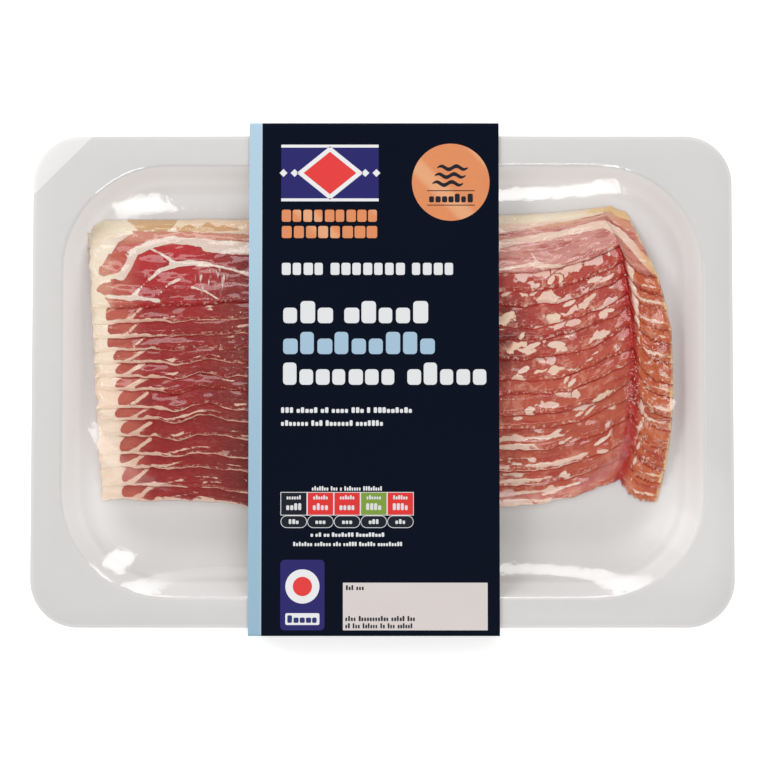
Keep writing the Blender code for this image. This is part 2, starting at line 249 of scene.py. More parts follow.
class Tree:
    """A small helper that adds and joins shader nodes."""

    def __init__(self, tree):
        self.tree = tree

    def add(self, kind, inputs=None, **settings):
        made = self.tree.nodes.new(kind)
        for key, value in settings.items():
            setattr(made, key, value)
        for key, value in (inputs or {}).items():
            self.feed(made.inputs[key], value)
        return made

    def feed(self, socket, value):
        """Links a socket to another, or sets its plain value; a colour may leave out its alpha."""
        if isinstance(value, bpy.types.NodeSocket):
            self.tree.links.new(value, socket)
        elif socket.type == "RGBA":
            socket.default_value = (*value[:3], 1.0)
        else:
            socket.default_value = value

    def math(self, operation, first, second=None, third=None, clamp=False):
        made = self.tree.nodes.new("ShaderNodeMath")
        made.operation = operation
        made.use_clamp = clamp
        for socket, value in zip(made.inputs, (first, second, third)):
            if value is not None:
                self.feed(socket, value)
        return made.outputs[0]

    def times(self, first, *others):
        """The product of two or more values."""
        for other in others:
            first = self.math("MULTIPLY", first, other)
        return first

    def line(self, value, slope, start):
        """A straight line: value times slope, plus start."""
        return self.math("MULTIPLY_ADD", value, slope, start)

    def higher(self, first, second):
        return self.math("MAXIMUM", first, second)

    def less(self, first, second):
        return self.math("SUBTRACT", first, second)

    def size(self, value):
        return self.math("ABSOLUTE", value)

    def drive(self, node, **values):
        """Feeds a node's sockets, named with underscores for spaces."""
        for key, value in values.items():
            self.feed(node.inputs[key.replace("_", " ")], value)

    def blend(self, share, first, second):
        """The node that mixes two shaders, given as nodes."""
        return self.add("ShaderNodeMixShader", {0: share, 1: first.outputs[0], 2: second.outputs[0]})

    def vector(self, operation, *values, output="Vector"):
        made = self.add("ShaderNodeVectorMath", operation=operation)
        for socket, value in zip(made.inputs, values):
            self.feed(socket, value)
        return made.outputs[output]

    def stored(self, name, output="Fac"):
        """A value or colour kept on the mesh under a name."""
        return self.add("ShaderNodeAttribute", attribute_name=name).outputs[output]

    def split(self, vector):
        """The X, Y and Z of a vector."""
        made = self.add("ShaderNodeSeparateXYZ", {"Vector": vector})
        return [made.outputs[axis] for axis in "XYZ"]

    def stretch(self, vector, **settings):
        """A vector moved, turned or scaled."""
        return self.add("ShaderNodeMapping", {"Vector": vector, **settings}).outputs[0]

    def tint(self, share, first, second):
        """A share of the way from a colour to that colour filtered by another."""
        return self.mix(share, first, second, "MULTIPLY")

    def ramp(self, value, low, high):
        """0 at low, 1 at high, smooth between."""
        made = self.add("ShaderNodeMapRange", interpolation_type="SMOOTHSTEP")
        for name, number in (("Value", value), ("From Min", low), ("From Max", high)):
            self.feed(made.inputs[name], number)
        return made.outputs["Result"]

    def mix(self, factor, first, second, blend="MIX"):
        made = self.add("ShaderNodeMix", data_type="RGBA", blend_type=blend)
        self.feed(made.inputs["Factor"], factor)
        self.feed(made.inputs[6], first)
        self.feed(made.inputs[7], second)
        return made.outputs[2]

    def noise(self, vector, scale, detail=3.0, roughness=0.55, distortion=0.0):
        made = self.add("ShaderNodeTexNoise", {
            "Vector": vector, "Scale": scale, "Detail": detail, "Roughness": roughness,
            "Distortion": distortion})
        return made.outputs["Fac"]

    def bump(self, height, distance, strength=1.0):
        made = self.add("ShaderNodeBump", {"Height": height, "Distance": distance, "Strength": strength})
        return made.outputs["Normal"]


def new_material(name, **plain):
    """A material with one Principled BSDF, its plain sockets set, and the helper that adds nodes to it."""
    material = bpy.data.materials.new(name)
    material.use_nodes = True
    shader = material.node_tree.nodes["Principled BSDF"]
    tree = Tree(material.node_tree)
    tree.drive(shader, **plain)
    if "Emission_Strength" in plain:
        material.cycles.emission_sampling = "NONE"
    return material, shader, tree


def object_place(tree):
    """The place of a point on its piece, in metres."""
    return tree.add("ShaderNodeTexCoord").outputs["Object"]


def build_speckle_group():
    """Fine dust, fibres and handling marks shared by the plastic, the card and the ink."""
    group = bpy.data.node_groups.new("fine speckle", "ShaderNodeTree")
    face = group.interface
    face.new_socket("Vector", in_out="INPUT", socket_type="NodeSocketVector")
    for name, default in (("Scale", 900.0), ("Cloud Scale", 30.0), ("Amount", 0.1)):
        socket = face.new_socket(name, in_out="INPUT", socket_type="NodeSocketFloat")
        socket.default_value = default
    face.new_socket("Value", in_out="OUTPUT", socket_type="NodeSocketFloat")
    face.new_socket("Height", in_out="OUTPUT", socket_type="NodeSocketFloat")
    tree = Tree(group)
    entry = tree.add("NodeGroupInput").outputs
    leave = tree.add("NodeGroupOutput").inputs
    fine = tree.noise(entry["Vector"], entry["Scale"], 2.0)
    cloud = tree.noise(entry["Vector"], entry["Cloud Scale"], 2.0)
    both = tree.math("ADD", tree.less(fine, 0.5), tree.less(cloud, 0.5))
    value = tree.line(both, entry["Amount"], 1.0)
    tree.feed(leave["Value"], value)
    tree.feed(leave["Height"], fine)
    return group


def speckle(tree, scale, cloud, amount):
    """The shared speckle's value round 1 and its relief."""
    made = tree.add("ShaderNodeGroup", {
        "Vector": object_place(tree), "Scale": scale, "Cloud Scale": cloud, "Amount": amount},
        node_tree=bpy.data.node_groups["fine speckle"])
    return made.outputs["Value"], made.outputs["Height"]


def shaded(tree, colour, value):
    """A plain colour made lighter and darker by a value round 1."""
    grey = tree.add("ShaderNodeCombineColor", {"Red": value, "Green": value, "Blue": value})
    return tree.tint(1.0, colour, grey.outputs[0])


# ---------------------------------------------------------------- shape of the rashers

CREASE_X = 95.0 * MM
CREASE_Y = -18.0 * MM
LEFT_END = -108.3 * MM
RIGHT_END = 109.8 * MM
WIDEST_Y = -8.0 * MM

# Millimetres: how far the rashers sweep up to the crease at the pile's bottom, top and middle
SWEEP_LOW, SWEEP_HIGH, SWEEP_MIDDLE = 10.0, 3.4, 6.0
SWEEP_REACH = 42.0 * MM
FOLD_REACH = 4.0 * MM
# Millimetres: how far the right half is fanned at the pile's bottom, fullest line and top
FAN_LOW, FAN_FULL, FAN_HIGH = 2.0, 13.0, 2.0
FAN_PEAK = 26.6 * MM
SAG = 4.0 * MM
SPREAD = 0.968


def smooth_step(value):
    """0 below 0, 1 above 1, smooth between."""
    value = np.clip(value, 0.0, 1.0)
    return value * value * (3.0 - 2.0 * value)


def hump(away, reach):
    """A bell curve: 1 at nothing away, falling off over its reach."""
    return np.exp(-((away / reach) ** 2))


def crease_at(laid):
    """Where the fold crosses a line of the pile: bowed, and further out at the top corner."""
    arc = np.where(laid > CREASE_Y, 2.5, 7.5)
    corner = 7.0 * MM * smooth_step((laid - 46.0 * MM) / (14.0 * MM))
    return CREASE_X - arc * (laid - CREASE_Y) ** 2 + corner


def left_outline(laid):
    """Where the pile ends at the left, rounded off at the top corner."""
    corner = np.maximum(laid - (LAST_EDGE - 9.0 * MM), 0.0) / (9.0 * MM)
    return LEFT_END - 0.055 * laid + 6.5 * MM * corner ** 3


def right_outline(laid):
    """Where the pile ends at the right: bowed, and further in towards the top."""
    arc = np.where(laid > WIDEST_Y, 1.6, 4.5)
    corner = np.maximum(laid - 10.0 * MM, 0.0) / (50.0 * MM)
    return RIGHT_END - arc * (laid - WIDEST_Y) ** 2 - 10.0 * MM * corner


def upper_share(laid):
    """0 at the pile's lower edge, 1 at its upper edge."""
    return (laid - FIRST_EDGE) / (LAST_EDGE - FIRST_EDGE)


def plan_y(x, laid):
    """Where a line along the rasher lies once the pile is swept, fanned and sagging."""
    upper = upper_share(laid)
    middle = 4.0 * upper * (1.0 - upper)
    offset = x - crease_at(laid)
    rise = SWEEP_LOW * MM + (SWEEP_HIGH - SWEEP_LOW) * MM * upper + SWEEP_MIDDLE * MM * middle
    before = rise * np.maximum(1.0 + offset / SWEEP_REACH, 0.0) ** 2
    fall = 0.9 * rise + 3.0 * MM * middle
    after = rise - fall * (1.0 - np.exp(-np.maximum(offset, 0.0) / FOLD_REACH))
    swept = np.where(offset < 0.0, before, after)
    right = smooth_step((x + 100.0 * MM) / (150.0 * MM))
    low = (laid - FIRST_EDGE) / (FAN_PEAK - FIRST_EDGE)
    high = (laid - FAN_PEAK) / (LAST_EDGE - FAN_PEAK)
    fan = np.where(
        laid < FAN_PEAK, FAN_FULL * MM * low - FAN_LOW * MM * (1.0 - low),
        FAN_FULL * MM + (FAN_HIGH - FAN_FULL) * MM * high)
    sag = SAG * (1.0 - upper ** 2) * hump(x + 35.0 * MM, 22.0 * MM)
    return laid + swept + right * fan - sag


def squeeze(x, laid):
    """How far the film presses the pile flat: most in the fold and at both ends."""
    valley = 0.13 * hump(x - crease_at(laid), 4.5 * MM)
    ends = smooth_step(1.0 - (x - left_outline(laid)) / (16.0 * MM))
    ends = ends + smooth_step(1.0 - (right_outline(laid) - x) / (16.0 * MM))
    return 1.0 - valley - 0.09 * ends


def lower_edge(order):
    """The line on which a rasher's lower edge lies."""
    return FIRST_EDGE + order * PITCH


# Millimetres that each rasher's lower edge lies from its even place, in its left and its right half
UNEVEN = (0.3, -0.2, 1.3, 0.6, 1.8, 2.6, 1.2, 2.3, 1.6, 1.3, 0.5, 0.0, -0.3, 0.0)
UNEVEN_RIGHT = (0.2, 0.9, -0.3, 0.8, 1.5, 0.2, 1.2, -0.2, 0.9, 1.6, 0.1, 0.8, -0.2, 0.0)


def uneven(order, x, inward):
    """How far a rasher's lower edge lies from its even place: hand-laid rashers never space out evenly."""
    right = smooth_step((x + 20.0 * MM) / (60.0 * MM))
    shift = UNEVEN[order] * (1.0 - right) + UNEVEN_RIGHT[order] * right
    dip = 1.5 * hump(x + 78.0 * MM, 5.0 * MM) - 1.3 * hump(x + 67.0 * MM, 6.0 * MM)
    middle = 0.0 if order == RASHERS - 1 else math.sin(math.pi * min(order / 12.0, 1.0)) ** 2
    return (shift - dip * middle) * MM * (1.0 - smooth_step(inward / (9.0 * MM)))


def stack_base(laid, order):
    """Height of what a rasher rests on: fewer layers towards the pile's upper edge."""
    layers = np.minimum(order, np.maximum((lower_edge(order) + SPAN - laid) / PITCH, 0.0))
    return layers * STACK_STEP


def wander(values, scale, seed):
    """Smooth noise of about -1 to 1 along a line."""
    flat = np.asarray(values).ravel()
    made = [noise.noise(Vector((value / scale, seed * 7.31, seed * 1.7))) for value in flat]
    return np.array(made).reshape(np.shape(values)) * 1.6


def swell(x, y, scale_x, scale_y, seed):
    """Smooth noise of about -1 to 1 over a surface."""
    made = [
        noise.noise(Vector((a / scale_x, b / scale_y, seed * 3.17)))
        for a, b in zip(np.ravel(x), np.ravel(y))]
    return np.array(made).reshape(np.shape(x)) * 1.6


def rasher_columns(count):
    """Shares along a rasher: 0 to 1 up to the crease and 1 to 2 past it, close together at both ends."""
    before = int(count * 0.86)
    rise = np.linspace(0.0, 1.0, before + 1)
    rise = 1.0 - (1.0 - rise) ** 1.15
    past = np.linspace(1.0, 2.0, count - before + 1)[1:]
    shares = np.concatenate([rise, past])
    extra_left = np.array([0.0006, 0.0018]) * 0.9
    extra_right = 2.0 - np.array([0.06, 0.03, 0.01])
    return np.unique(np.concatenate([shares, extra_left, extra_right]))


def rasher_rows(order, rim):
    """Distances in from a rasher's lower edge, close together wherever the rasher shows."""
    rounding = rim * (1.0 - np.cos(np.linspace(0.0, math.pi / 2, 5)))
    top = order == RASHERS - 1
    inner = np.arange(rim + 0.5 * MM, SPAN - rim, 0.55 * MM)
    if not top:
        shown = inner[inner < 8.5 * MM]
        inner = np.concatenate([shown, np.arange(11.0 * MM, SPAN - rim - 1.0 * MM, 4.0 * MM)])
    return np.concatenate([rounding, inner, SPAN - rounding[::-1]])


def tray_surface(x, y):
    """Height of the tray's upper face."""
    corner = RECESS_CORNER
    dx = np.abs(x) - (TRAY_LENGTH / 2 - FLANGE - corner)
    dy = np.abs(y - TRAY_Y) - (TRAY_WIDTH / 2 - FLANGE - corner)
    outside = np.hypot(np.maximum(dx, 0), np.maximum(dy, 0)) + np.minimum(np.maximum(dx, dy), 0)
    inset = corner - outside
    levels = np.array(TRAY_WALL)
    return np.interp(inset / MM, levels[:, 0], levels[:, 1]) * MM


def settle_outwards(x, y, z):
    """The lower a part of the pile lies, the further out it has slid."""
    low = np.maximum(FLANGE_TOP - z, 0.0)
    return x + x * low / SPREAD, y + (y + 2.0 * MM) * low / SPREAD + 0.061 * low


# ---------------------------------------------------------------- marbling


def streak(px, py, points, half_width):
    """How far inside a band of fat a place is, in millimetres, below 0 outside it."""
    best = np.full(np.shape(px), 1e3)
    for (ax, ay), (bx, by) in zip(points, points[1:]):
        dx, dy = bx - ax, by - ay
        share = np.clip(((px - ax) * dx + (py - ay) * dy) / (dx * dx + dy * dy), 0.0, 1.0)
        best = np.minimum(best, np.hypot(px - ax - share * dx, py - ay - share * dy))
    return half_width - best


def blob(px, py, centre, radii, turn=0.0):
    """How far inside an oval a place is, in millimetres."""
    dx, dy = px - centre[0], py - centre[1]
    c, s = math.cos(turn), math.sin(turn)
    away = np.hypot((dx * c + dy * s) / radii[0], (dy * c - dx * s) / radii[1])
    return (1.0 - away) * min(radii)


def top_marbling(px, py, from_left):
    """Fat on the rasher that lies on top, from its plan place in millimetres."""
    fat = np.maximum.reduce([
        streak(px, py, (
            (-98.8, 38.7), (-96.6, 42.0), (-94.0, 47.6), (-87.9, 51.0), (-80.3, 52.6), (-66.0, 51.2),
            (-50.5, 49.0), (-20.0, 48.0), (20.0, 48.5), (44.0, 50.8), (67.1, 54.8), (84.0, 58.6),
            (90.5, 55.0), (97.3, 47.2), (103.4, 40.6)), 1.55),
        streak(px, py, ((-66.0, 50.2), (-58.0, 49.8), (-50.5, 49.2), (-20.0, 47.6)), 2.5),
        streak(px, py, (
            (-95.1, 30.1), (-90.5, 35.5), (-84.1, 41.0), (-76.0, 43.4), (-70.9, 43.9), (-61.0, 42.2),
            (-50.5, 39.5), (-20.0, 37.0), (30.0, 39.0)), 0.62),
        streak(px, py, ((-79.5, 43.2), (-71.0, 43.8), (-66.0, 43.2)), 1.05),
        streak(px, py, ((-87.9, 49.2), (-82.4, 46.4), (-79.2, 44.0)), 0.32),
        streak(px, py, ((-84.9, 31.6), (-81.0, 35.6), (-76.5, 37.8)), 0.42),
        streak(px, py, ((-103.5, 38.4), (-98.2, 38.9)), 0.9),
        streak(px, py, ((-104.0, 31.0), (-96.0, 30.3), (-89.0, 30.1), (-85.0, 29.4)), 0.75),
        streak(px, py, ((-72.0, 34.5), (-67.0, 33.0), (-62.0, 29.8)), 0.3),
        streak(px, py, ((56.5, 47.5), (59.0, 43.5), (62.5, 39.0)), 0.32),
        streak(px, py, ((40.0, 40.5), (56.0, 43.2), (70.0, 41.8), (78.0, 45.5)), 0.7),
        streak(px, py, ((87.0, 48.4), (90.0, 43.2), (94.3, 36.5)), 1.25),
    ])
    left_block = 1.0 - (from_left - 5.2 - 1.2 * np.sin(py * 0.55))
    left_block = np.maximum(left_block, blob(px, py, (-101.5, 53.5), (8.5, 6.5), -0.5))
    outer = ((-105.0, 41.0), (-101.8, 44.5), (-98.5, 49.8), (-92.5, 53.4), (-84.0, 54.4))
    patches = np.maximum(streak(px, py, outer, 2.3), blob(px, py, (-100.0, 33.9), (7.5, 3.0), 0.05))
    fat = np.maximum(fat, np.minimum(left_block, -1.1 * patches))
    above = py - np.interp(px, (-98.0, -80.0, -50.0, 44.0, 70.0, 88.0), (55.6, 55.8, 54.4, 54.8, 59.4, 63.5))
    return np.maximum(fat, np.where(px < 84.0, np.minimum(above, 2.0), -2.0))


def strip_marbling(order, run, inward, past, generator):
    """Fat on a rasher whose lower margin shows. Run is measured from its left end, past from the crease."""
    wobble = generator.uniform(-1.0, 1.0, 12)
    upper = order / 12.0
    block = 8.0 - 3.2 * upper ** 2 + 0.8 * wobble[0]
    parts = [block + 0.12 * (inward - 2.9) ** 2 + 0.2 * inward * wobble[1] - run]
    rim_reach = 17.0 + 10.0 * upper + 4.0 * wobble[2]
    rim = (0.7 + 0.5 * upper) * np.exp(-((run / rim_reach) ** 4))
    rim = rim + 0.28 * np.clip((75.0 - run) / 20.0, -3.0, 1.0)
    parts.append(rim - inward)
    start = 10.5 + 2.0 * wobble[3]
    slanting = ((start, 0.0), (start + 4.0, 2.4), (start + 9.0, 6.5))
    parts.append(streak(run, inward, slanting, 0.75 + 0.3 * wobble[4]))
    shallow = ((start + 1, 0.2), (start + 14, 1.0), (start + 22, 2.6))
    parts.append(streak(run, inward, shallow, 0.26 + 0.1 * wobble[5]))
    tooth = 19.0 + 4.0 * wobble[6]
    parts.append(blob(run, inward, (tooth, 0.2), (1.6, 1.5), 0.4))
    parts.extend(threads(run, inward, generator))
    parts.extend(slivers(past, inward, generator))
    if order < 4:
        parts.extend(long_lines(past, inward, wobble))
    wide = 1.5 if order > 9 else 0.1 + 0.07 * order
    parts.append(streak(past, inward, ((2.0, -1.0), (2.9, 2.6), (3.8, 7.0)), wide + 0.4 * wobble[8]))
    parts.append(streak(past, inward, ((4.5, 1.5), (10.0, 2.4), (15.0, 2.2)), 0.35 + 0.3 * wobble[9]))
    return np.maximum.reduce(parts)


def threads(run, inward, generator):
    """Two thin threads of fat in the left half."""
    for _ in range(2):
        at = generator.uniform(30.0, 60.0)
        reach = generator.uniform(4.0, 13.0)
        depth = generator.uniform(0.8, 4.6)
        points = ((at, depth), (at + reach / 2, depth + 0.6), (at + reach, depth + 0.2))
        yield streak(run, inward, points, generator.uniform(0.05, 0.20))


def slivers(past, inward, generator):
    """Four pointed slivers of fat before the crease, widest in the middle of the right half."""
    for _ in range(4):
        at = generator.uniform(-62.0, -9.0)
        reach = generator.uniform(1.5, 7.0)
        depth = generator.uniform(0.6, 5.0)
        slant = generator.uniform(-1.2, 2.6)
        near = max(0.0, 1.0 - abs(at + 30.0) / 34.0)
        wide = generator.uniform(0.25, 0.55) + 0.55 * near * generator.uniform(0.3, 1.0)
        pointed = wide * np.clip(((past - at) / reach - 0.5) ** 2 * 4.0, 0.0, 4.0)
        yield streak(past, inward, ((at, depth), (at + reach, depth + slant)), 1.25 * wide) - 0.9 * pointed


def long_lines(past, inward, wobble):
    """Long cream lines along the lowest rashers, each with its own end."""
    for depth, turn in ((0.9, wobble[10]), (3.3, wobble[2])):
        stop = -27.0 + 11.0 * turn
        points = ((-52.0, depth), (-38.0, depth + 0.7), (stop, depth + 0.5 * turn))
        yield streak(past, inward, points, 0.48 + 0.12 * turn)
    graded = np.clip((-21.0 + 9.0 * wobble[11] - past) / 9.0, -3.0, 1.0)
    yield (0.42 + 0.2 * wobble[7]) * graded - inward


def fade(first, second, share):
    """One colour for each share, from the first colour at 0 to the second at 1."""
    share = np.asarray(share)[..., None]
    return np.asarray(first) * (1.0 - share) + np.asarray(second) * share


def blend(first, second, share):
    """A share of the way from one colour, or a colour for each vertex, to another."""
    return np.asarray(first) + (np.asarray(second) - np.asarray(first)) * np.asarray(share)[..., None]


def lean_colours(at):
    """Lean meat: bright red at the upper left, deeper below it, salmon towards the right end."""
    upper = np.clip(upper_share(at.laid), 0.0, 1.0)
    left = fade((0.300, 0.008, 0.010), (0.470, 0.009, 0.016), smooth_step((upper - 0.55) / 0.4))
    near_end = smooth_step((21.0 - at.run) / 10.0)
    left = blend(left, (0.520, 0.130, 0.085), 0.75 * near_end)
    # Painted shade: the lean darker beside the card, where the raised card shuts out light
    near_card = smooth_step((at.x + 76.0 * MM) / (24.0 * MM))
    left = blend(left, (0.190, 0.020, 0.015), 0.8 * near_card)
    right = fade((0.490, 0.092, 0.048), (0.430, 0.052, 0.034), smooth_step((upper - 0.25) / 0.3))
    # Painted shade right of the card, where the card's shadow falls
    right = blend(right, (0.170, 0.016, 0.016), 0.0 if at.top else 0.95 * card_shade_patch(at, 9.0 * MM))
    if at.top:
        right = blend(right, (0.620, 0.300, 0.265), np.full(np.shape(at.x), 0.9))
        outer = smooth_step((at.inward - SPAN + 10.5 * MM) / (2.5 * MM))
        left_rim = np.maximum(outer, smooth_step((9.5 - at.run) / 3.0))
        left = blend(left, (0.600, 0.270, 0.185), 0.9 * left_rim)
        right = blend(right, (0.660, 0.400, 0.250), 0.8 * outer)
    else:
        # Painted highlight: the lean lighter along the lower cut edge, where the raised edge catches the
        # light
        left = blend(left, (0.420, 0.090, 0.060), 0.35 * smooth_step((1.6 * MM - at.inward) / (1.4 * MM)))
    mixed = blend(left, right, smooth_step((at.x + 20.0 * MM) / (60.0 * MM)))
    ladder = smooth_step((at.past - 0.5) / 3.0)
    return blend(mixed, (0.550, 0.130, 0.042), (0.40 if at.top else 0.88) * ladder)


def card_shade_patch(at, reach):
    """Painted shade right of the card, where its shadow falls on the meat: 1 at its middle."""
    return np.exp(-(((at.x - 47.0 * MM) / reach) ** 2) - ((at.laid - 7.0 * MM) / (14.0 * MM)) ** 2)


def fat_colours(at):
    """Fat: cream at the left end, pinker in the middle, ochre along the right end."""
    upper = np.clip(upper_share(at.laid), 0.0, 1.0)
    left_end = fade((0.860, 0.700, 0.560), (0.840, 0.740, 0.590), smooth_step((upper - 0.3) / 0.6))
    middle = (0.720, 0.590, 0.510) if at.top else (0.720, 0.480, 0.370)
    mixed = blend(left_end, middle, smooth_step((at.run - 5.0) / 9.0))
    mixed = blend(mixed, (0.780, 0.570, 0.465), smooth_step((at.x - 10.0 * MM) / (40.0 * MM)))
    if at.top:
        from_middle = np.abs(at.x + 50.0 * MM) - 20.0 * MM
        cream = fade((0.780, 0.600, 0.430), (0.840, 0.740, 0.570), smooth_step(from_middle / (20.0 * MM)))
        mixed = blend(mixed, cream, smooth_step((at.inward - SPAN + 7.0 * MM) / (3.0 * MM)))
    return blend(mixed, (0.700, 0.370, 0.140), 0.8 * smooth_step((5.0 - at.to_end) / 4.0))


# ---------------------------------------------------------------- materials

BLACK = (0.0, 0.0, 0.0)
WHITE = (1.0, 1.0, 1.0)
HALF = (0.5, 0.5, 0.5)
LUMP_SCALE = 330.0


def chunk_mask(tree, place, chunks):
    """Packed lumps of fat with thin lean borders, denser where chunks is high, and a random tint of each."""
    warp = tree.add("ShaderNodeTexNoise", {"Vector": place, "Scale": 260.0, "Detail": 3.0}).outputs["Color"]
    moved = tree.vector("MULTIPLY_ADD", tree.vector("SUBTRACT", warp, HALF), (0.009, 0.0045, 0.0), place)
    slanted = tree.stretch(moved, Rotation=(0.0, 0.0, -0.16), Scale=(0.48, 1.0, 1.0))
    cells = {"Vector": slanted, "Scale": LUMP_SCALE}
    draw, tint, _ = tree.split(tree.add("ShaderNodeTexVoronoi", cells).outputs["Color"])
    rim = tree.add("ShaderNodeTexVoronoi", cells, feature="DISTANCE_TO_EDGE").outputs["Distance"]
    chosen = tree.ramp(tree.line(chunks, 0.43, draw), 0.99, 1.01)
    return tree.times(chosen, tree.ramp(rim, 0.02, 0.10)), tint


def fat_share(tree, stretched, ragged, broad, lump, chunks):
    """Where fat lies: the drawn marbling with a ragged border, fine veins and lumps."""
    border = tree.line(broad, 1.7, tree.line(ragged, 1.1, tree.stored("marbling")))
    share = tree.ramp(border, -0.08, 0.14)
    vein = tree.size(tree.less(tree.noise(stretched, 210.0, 3.0, 0.55, 0.6), 0.5))
    vein = tree.times(tree.ramp(vein, 0.022, 0.004), tree.ramp(broad, -0.02, 0.10))
    share = tree.higher(share, tree.times(vein, tree.line(chunks, 0.53, 0.08)))
    return tree.higher(share, lump)


def lean_tones(tree, place, stretched, fibre, cloud, to_right, fat):
    """The lean's own colour with fibres, clouds and flecks, and mottled towards the right."""
    pale_fibre = tree.times(tree.ramp(fibre, 0.45, 0.80), 0.22)
    tone = tree.mix(pale_fibre, tree.stored("lean", "Color"), (0.70, 0.16, 0.10))
    tone = tree.tint(tree.times(tree.ramp(cloud, 0.55, 0.25), 0.55), tone, (0.66, 0.34, 0.32))
    fleck = tree.ramp(tree.noise(stretched, 620.0, 2.0, 0.5), 0.66, 0.74)
    tone = tree.mix(tree.times(fleck, 0.20), tone, fat)
    pale_spot = tree.ramp(tree.noise(place, 240.0, 4.0, 0.6, 0.5), 0.50, 0.64)
    tone = tree.mix(tree.times(pale_spot, to_right, 0.50), tone, (0.66, 0.29, 0.19))
    red_spot = tree.ramp(tree.noise(stretched, 185.0, 3.0, 0.6, 0.3), 0.52, 0.68)
    return tree.mix(tree.times(red_spot, to_right, 0.65), tone, (0.36, 0.022, 0.018))


def fat_tones(tree, cloud, fat, lump, lump_tint):
    """The fat's own colour with pinker clouds, each lump a little cooler or warmer."""
    tone = tree.tint(tree.times(tree.ramp(cloud, 0.40, 0.72), 0.45), fat, (1.0, 0.80, 0.74))
    lump_tone = tree.mix(lump_tint, (0.97, 0.86, 0.98), (1.0, 1.03, 0.90))
    return tree.mix(tree.times(lump, 0.9), tone, tree.tint(1.0, tone, lump_tone))


def bacon_material():
    """Wet cured meat: fibrous lean, creamy fat with ragged borders, dark juice and painted shade in the
    seams, painted glints along the cut edges and a painted glow.
    """
    material, shader, tree = new_material(
        "cured bacon", Coat_Weight=0.75, Coat_Roughness=0.06, Coat_IOR=1.45, Specular_IOR_Level=0.35,
        Subsurface_Weight=0.12, Subsurface_Scale=0.0012, Subsurface_Radius=(1.0, 0.35, 0.22),
        Emission_Strength=1.0)
    along, across, _ = tree.split(tree.add("ShaderNodeUVMap").outputs["UV"])
    place = tree.add("ShaderNodeCombineXYZ", {"X": along, "Y": across, "Z": tree.stored("seed")}).outputs[0]
    stretched = tree.stretch(place, Scale=(0.45, 1.6, 1.0))
    to_right = tree.ramp(along, 12.0 * MM, 40.0 * MM)
    ragged = tree.less(tree.noise(place, 420.0, 4.0, 0.62), 0.5)
    broad = tree.less(tree.noise(place, 130.0, 2.0, 0.5), 0.5)
    fibre = tree.noise(stretched, 900.0, 4.0, 0.6, 0.4)
    cloud = tree.noise(stretched, 160.0, 3.0, 0.6)
    chunks = tree.stored("chunks")
    lump, lump_tint = chunk_mask(tree, place, chunks)
    fat_mask = fat_share(tree, stretched, ragged, broad, lump, chunks)
    fat = tree.stored("fat", "Color")
    colour = tree.mix(
        fat_mask, lean_tones(tree, place, stretched, fibre, cloud, to_right, fat),
        fat_tones(tree, cloud, fat, lump, lump_tint))

    rind = tree.line(ragged, 0.8, tree.line(broad, 1.2, tree.stored("rind")))
    rind_tone = tree.mix(cloud, (0.52, 0.25, 0.08), (0.60, 0.35, 0.17))
    rind_tone = tree.mix(to_right, rind_tone, (0.82, 0.56, 0.24))
    colour = tree.mix(tree.times(tree.ramp(rind, 0.36, 0.66), 0.85), colour, rind_tone)

    edge = tree.stored("edge")
    # Painted glints: pale specks along the cut edges, where a wet edge would catch the light
    glint_speck = tree.times(tree.ramp(tree.noise(place, 760.0, 3.0, 0.6), 0.53, 0.62), tree.ramp(edge, 0.25, 0.75))
    colour = tree.mix(tree.times(glint_speck, tree.line(to_right, 0.18, 0.40)), colour, (0.84, 0.66, 0.54))

    # Juice and painted shade: dark red where the next rasher's edge shades this one, in the crease and
    # underneath
    juice = tree.ramp(tree.line(broad, 0.55, tree.stored("juice")), 0.18, 0.85)
    juice_and_shade_tone = tree.mix(to_right, (0.290, 0.010, 0.009), (0.400, 0.014, 0.010))
    colour = tree.mix(tree.times(juice, 0.85), colour, juice_and_shade_tone)

    # Painted glow: the meat gives off a little of its own colour, more by the cut edges and dark red where
    # the juice and painted shade lie, standing in for light through the meat
    glow = tree.mix(tree.line(edge, 0.24, 0.045), BLACK, colour)
    relief = tree.line(fat_mask, 0.35, tree.times(fibre, 0.55))
    relief = tree.line(ragged, 0.9, relief)
    relief = tree.line(tree.noise(place, 1100.0, 2.0, 0.6), 0.9, relief)
    tree.drive(
        shader, Base_Color=colour, Emission_Color=tree.mix(juice, glow, (0.030, 0.001, 0.001)),
        Roughness=tree.line(juice, -0.16, tree.line(fibre, 0.22, 0.30)), Normal=tree.bump(relief, 0.00042))
    return material


def inner_light(tree, place, upright):
    """Painted glow, the soft light that gathers in the moulded recess: most by the foot of the wall, less on
    the wall.
    """
    straight = (TRAY_LENGTH / 2 - FLANGE - RECESS_CORNER, TRAY_WIDTH / 2 - FLANGE - RECESS_CORNER, 1.0)
    apart = tree.vector("SUBTRACT", tree.vector("ABSOLUTE", place), straight)
    outside = tree.vector("LENGTH", tree.vector("MAXIMUM", apart, (0.0, 0.0, 0.0)), output="Value")
    on_wall = tree.ramp(outside, RECESS_CORNER - 9.0 * MM, RECESS_CORNER - 4.0 * MM)
    by_foot = tree.ramp(outside, RECESS_CORNER - 24.0 * MM, RECESS_CORNER - 9.5 * MM)
    lower = tree.ramp(upright[1], -50.0 * MM, -76.0 * MM)
    right = tree.ramp(upright[0], 90.0 * MM, 114.0 * MM)
    shade = tree.times(tree.line(lower, -0.95, 1.0), tree.line(right, -0.35, 1.0))
    return tree.line(on_wall, -0.070, tree.times(by_foot, 0.205)), shade


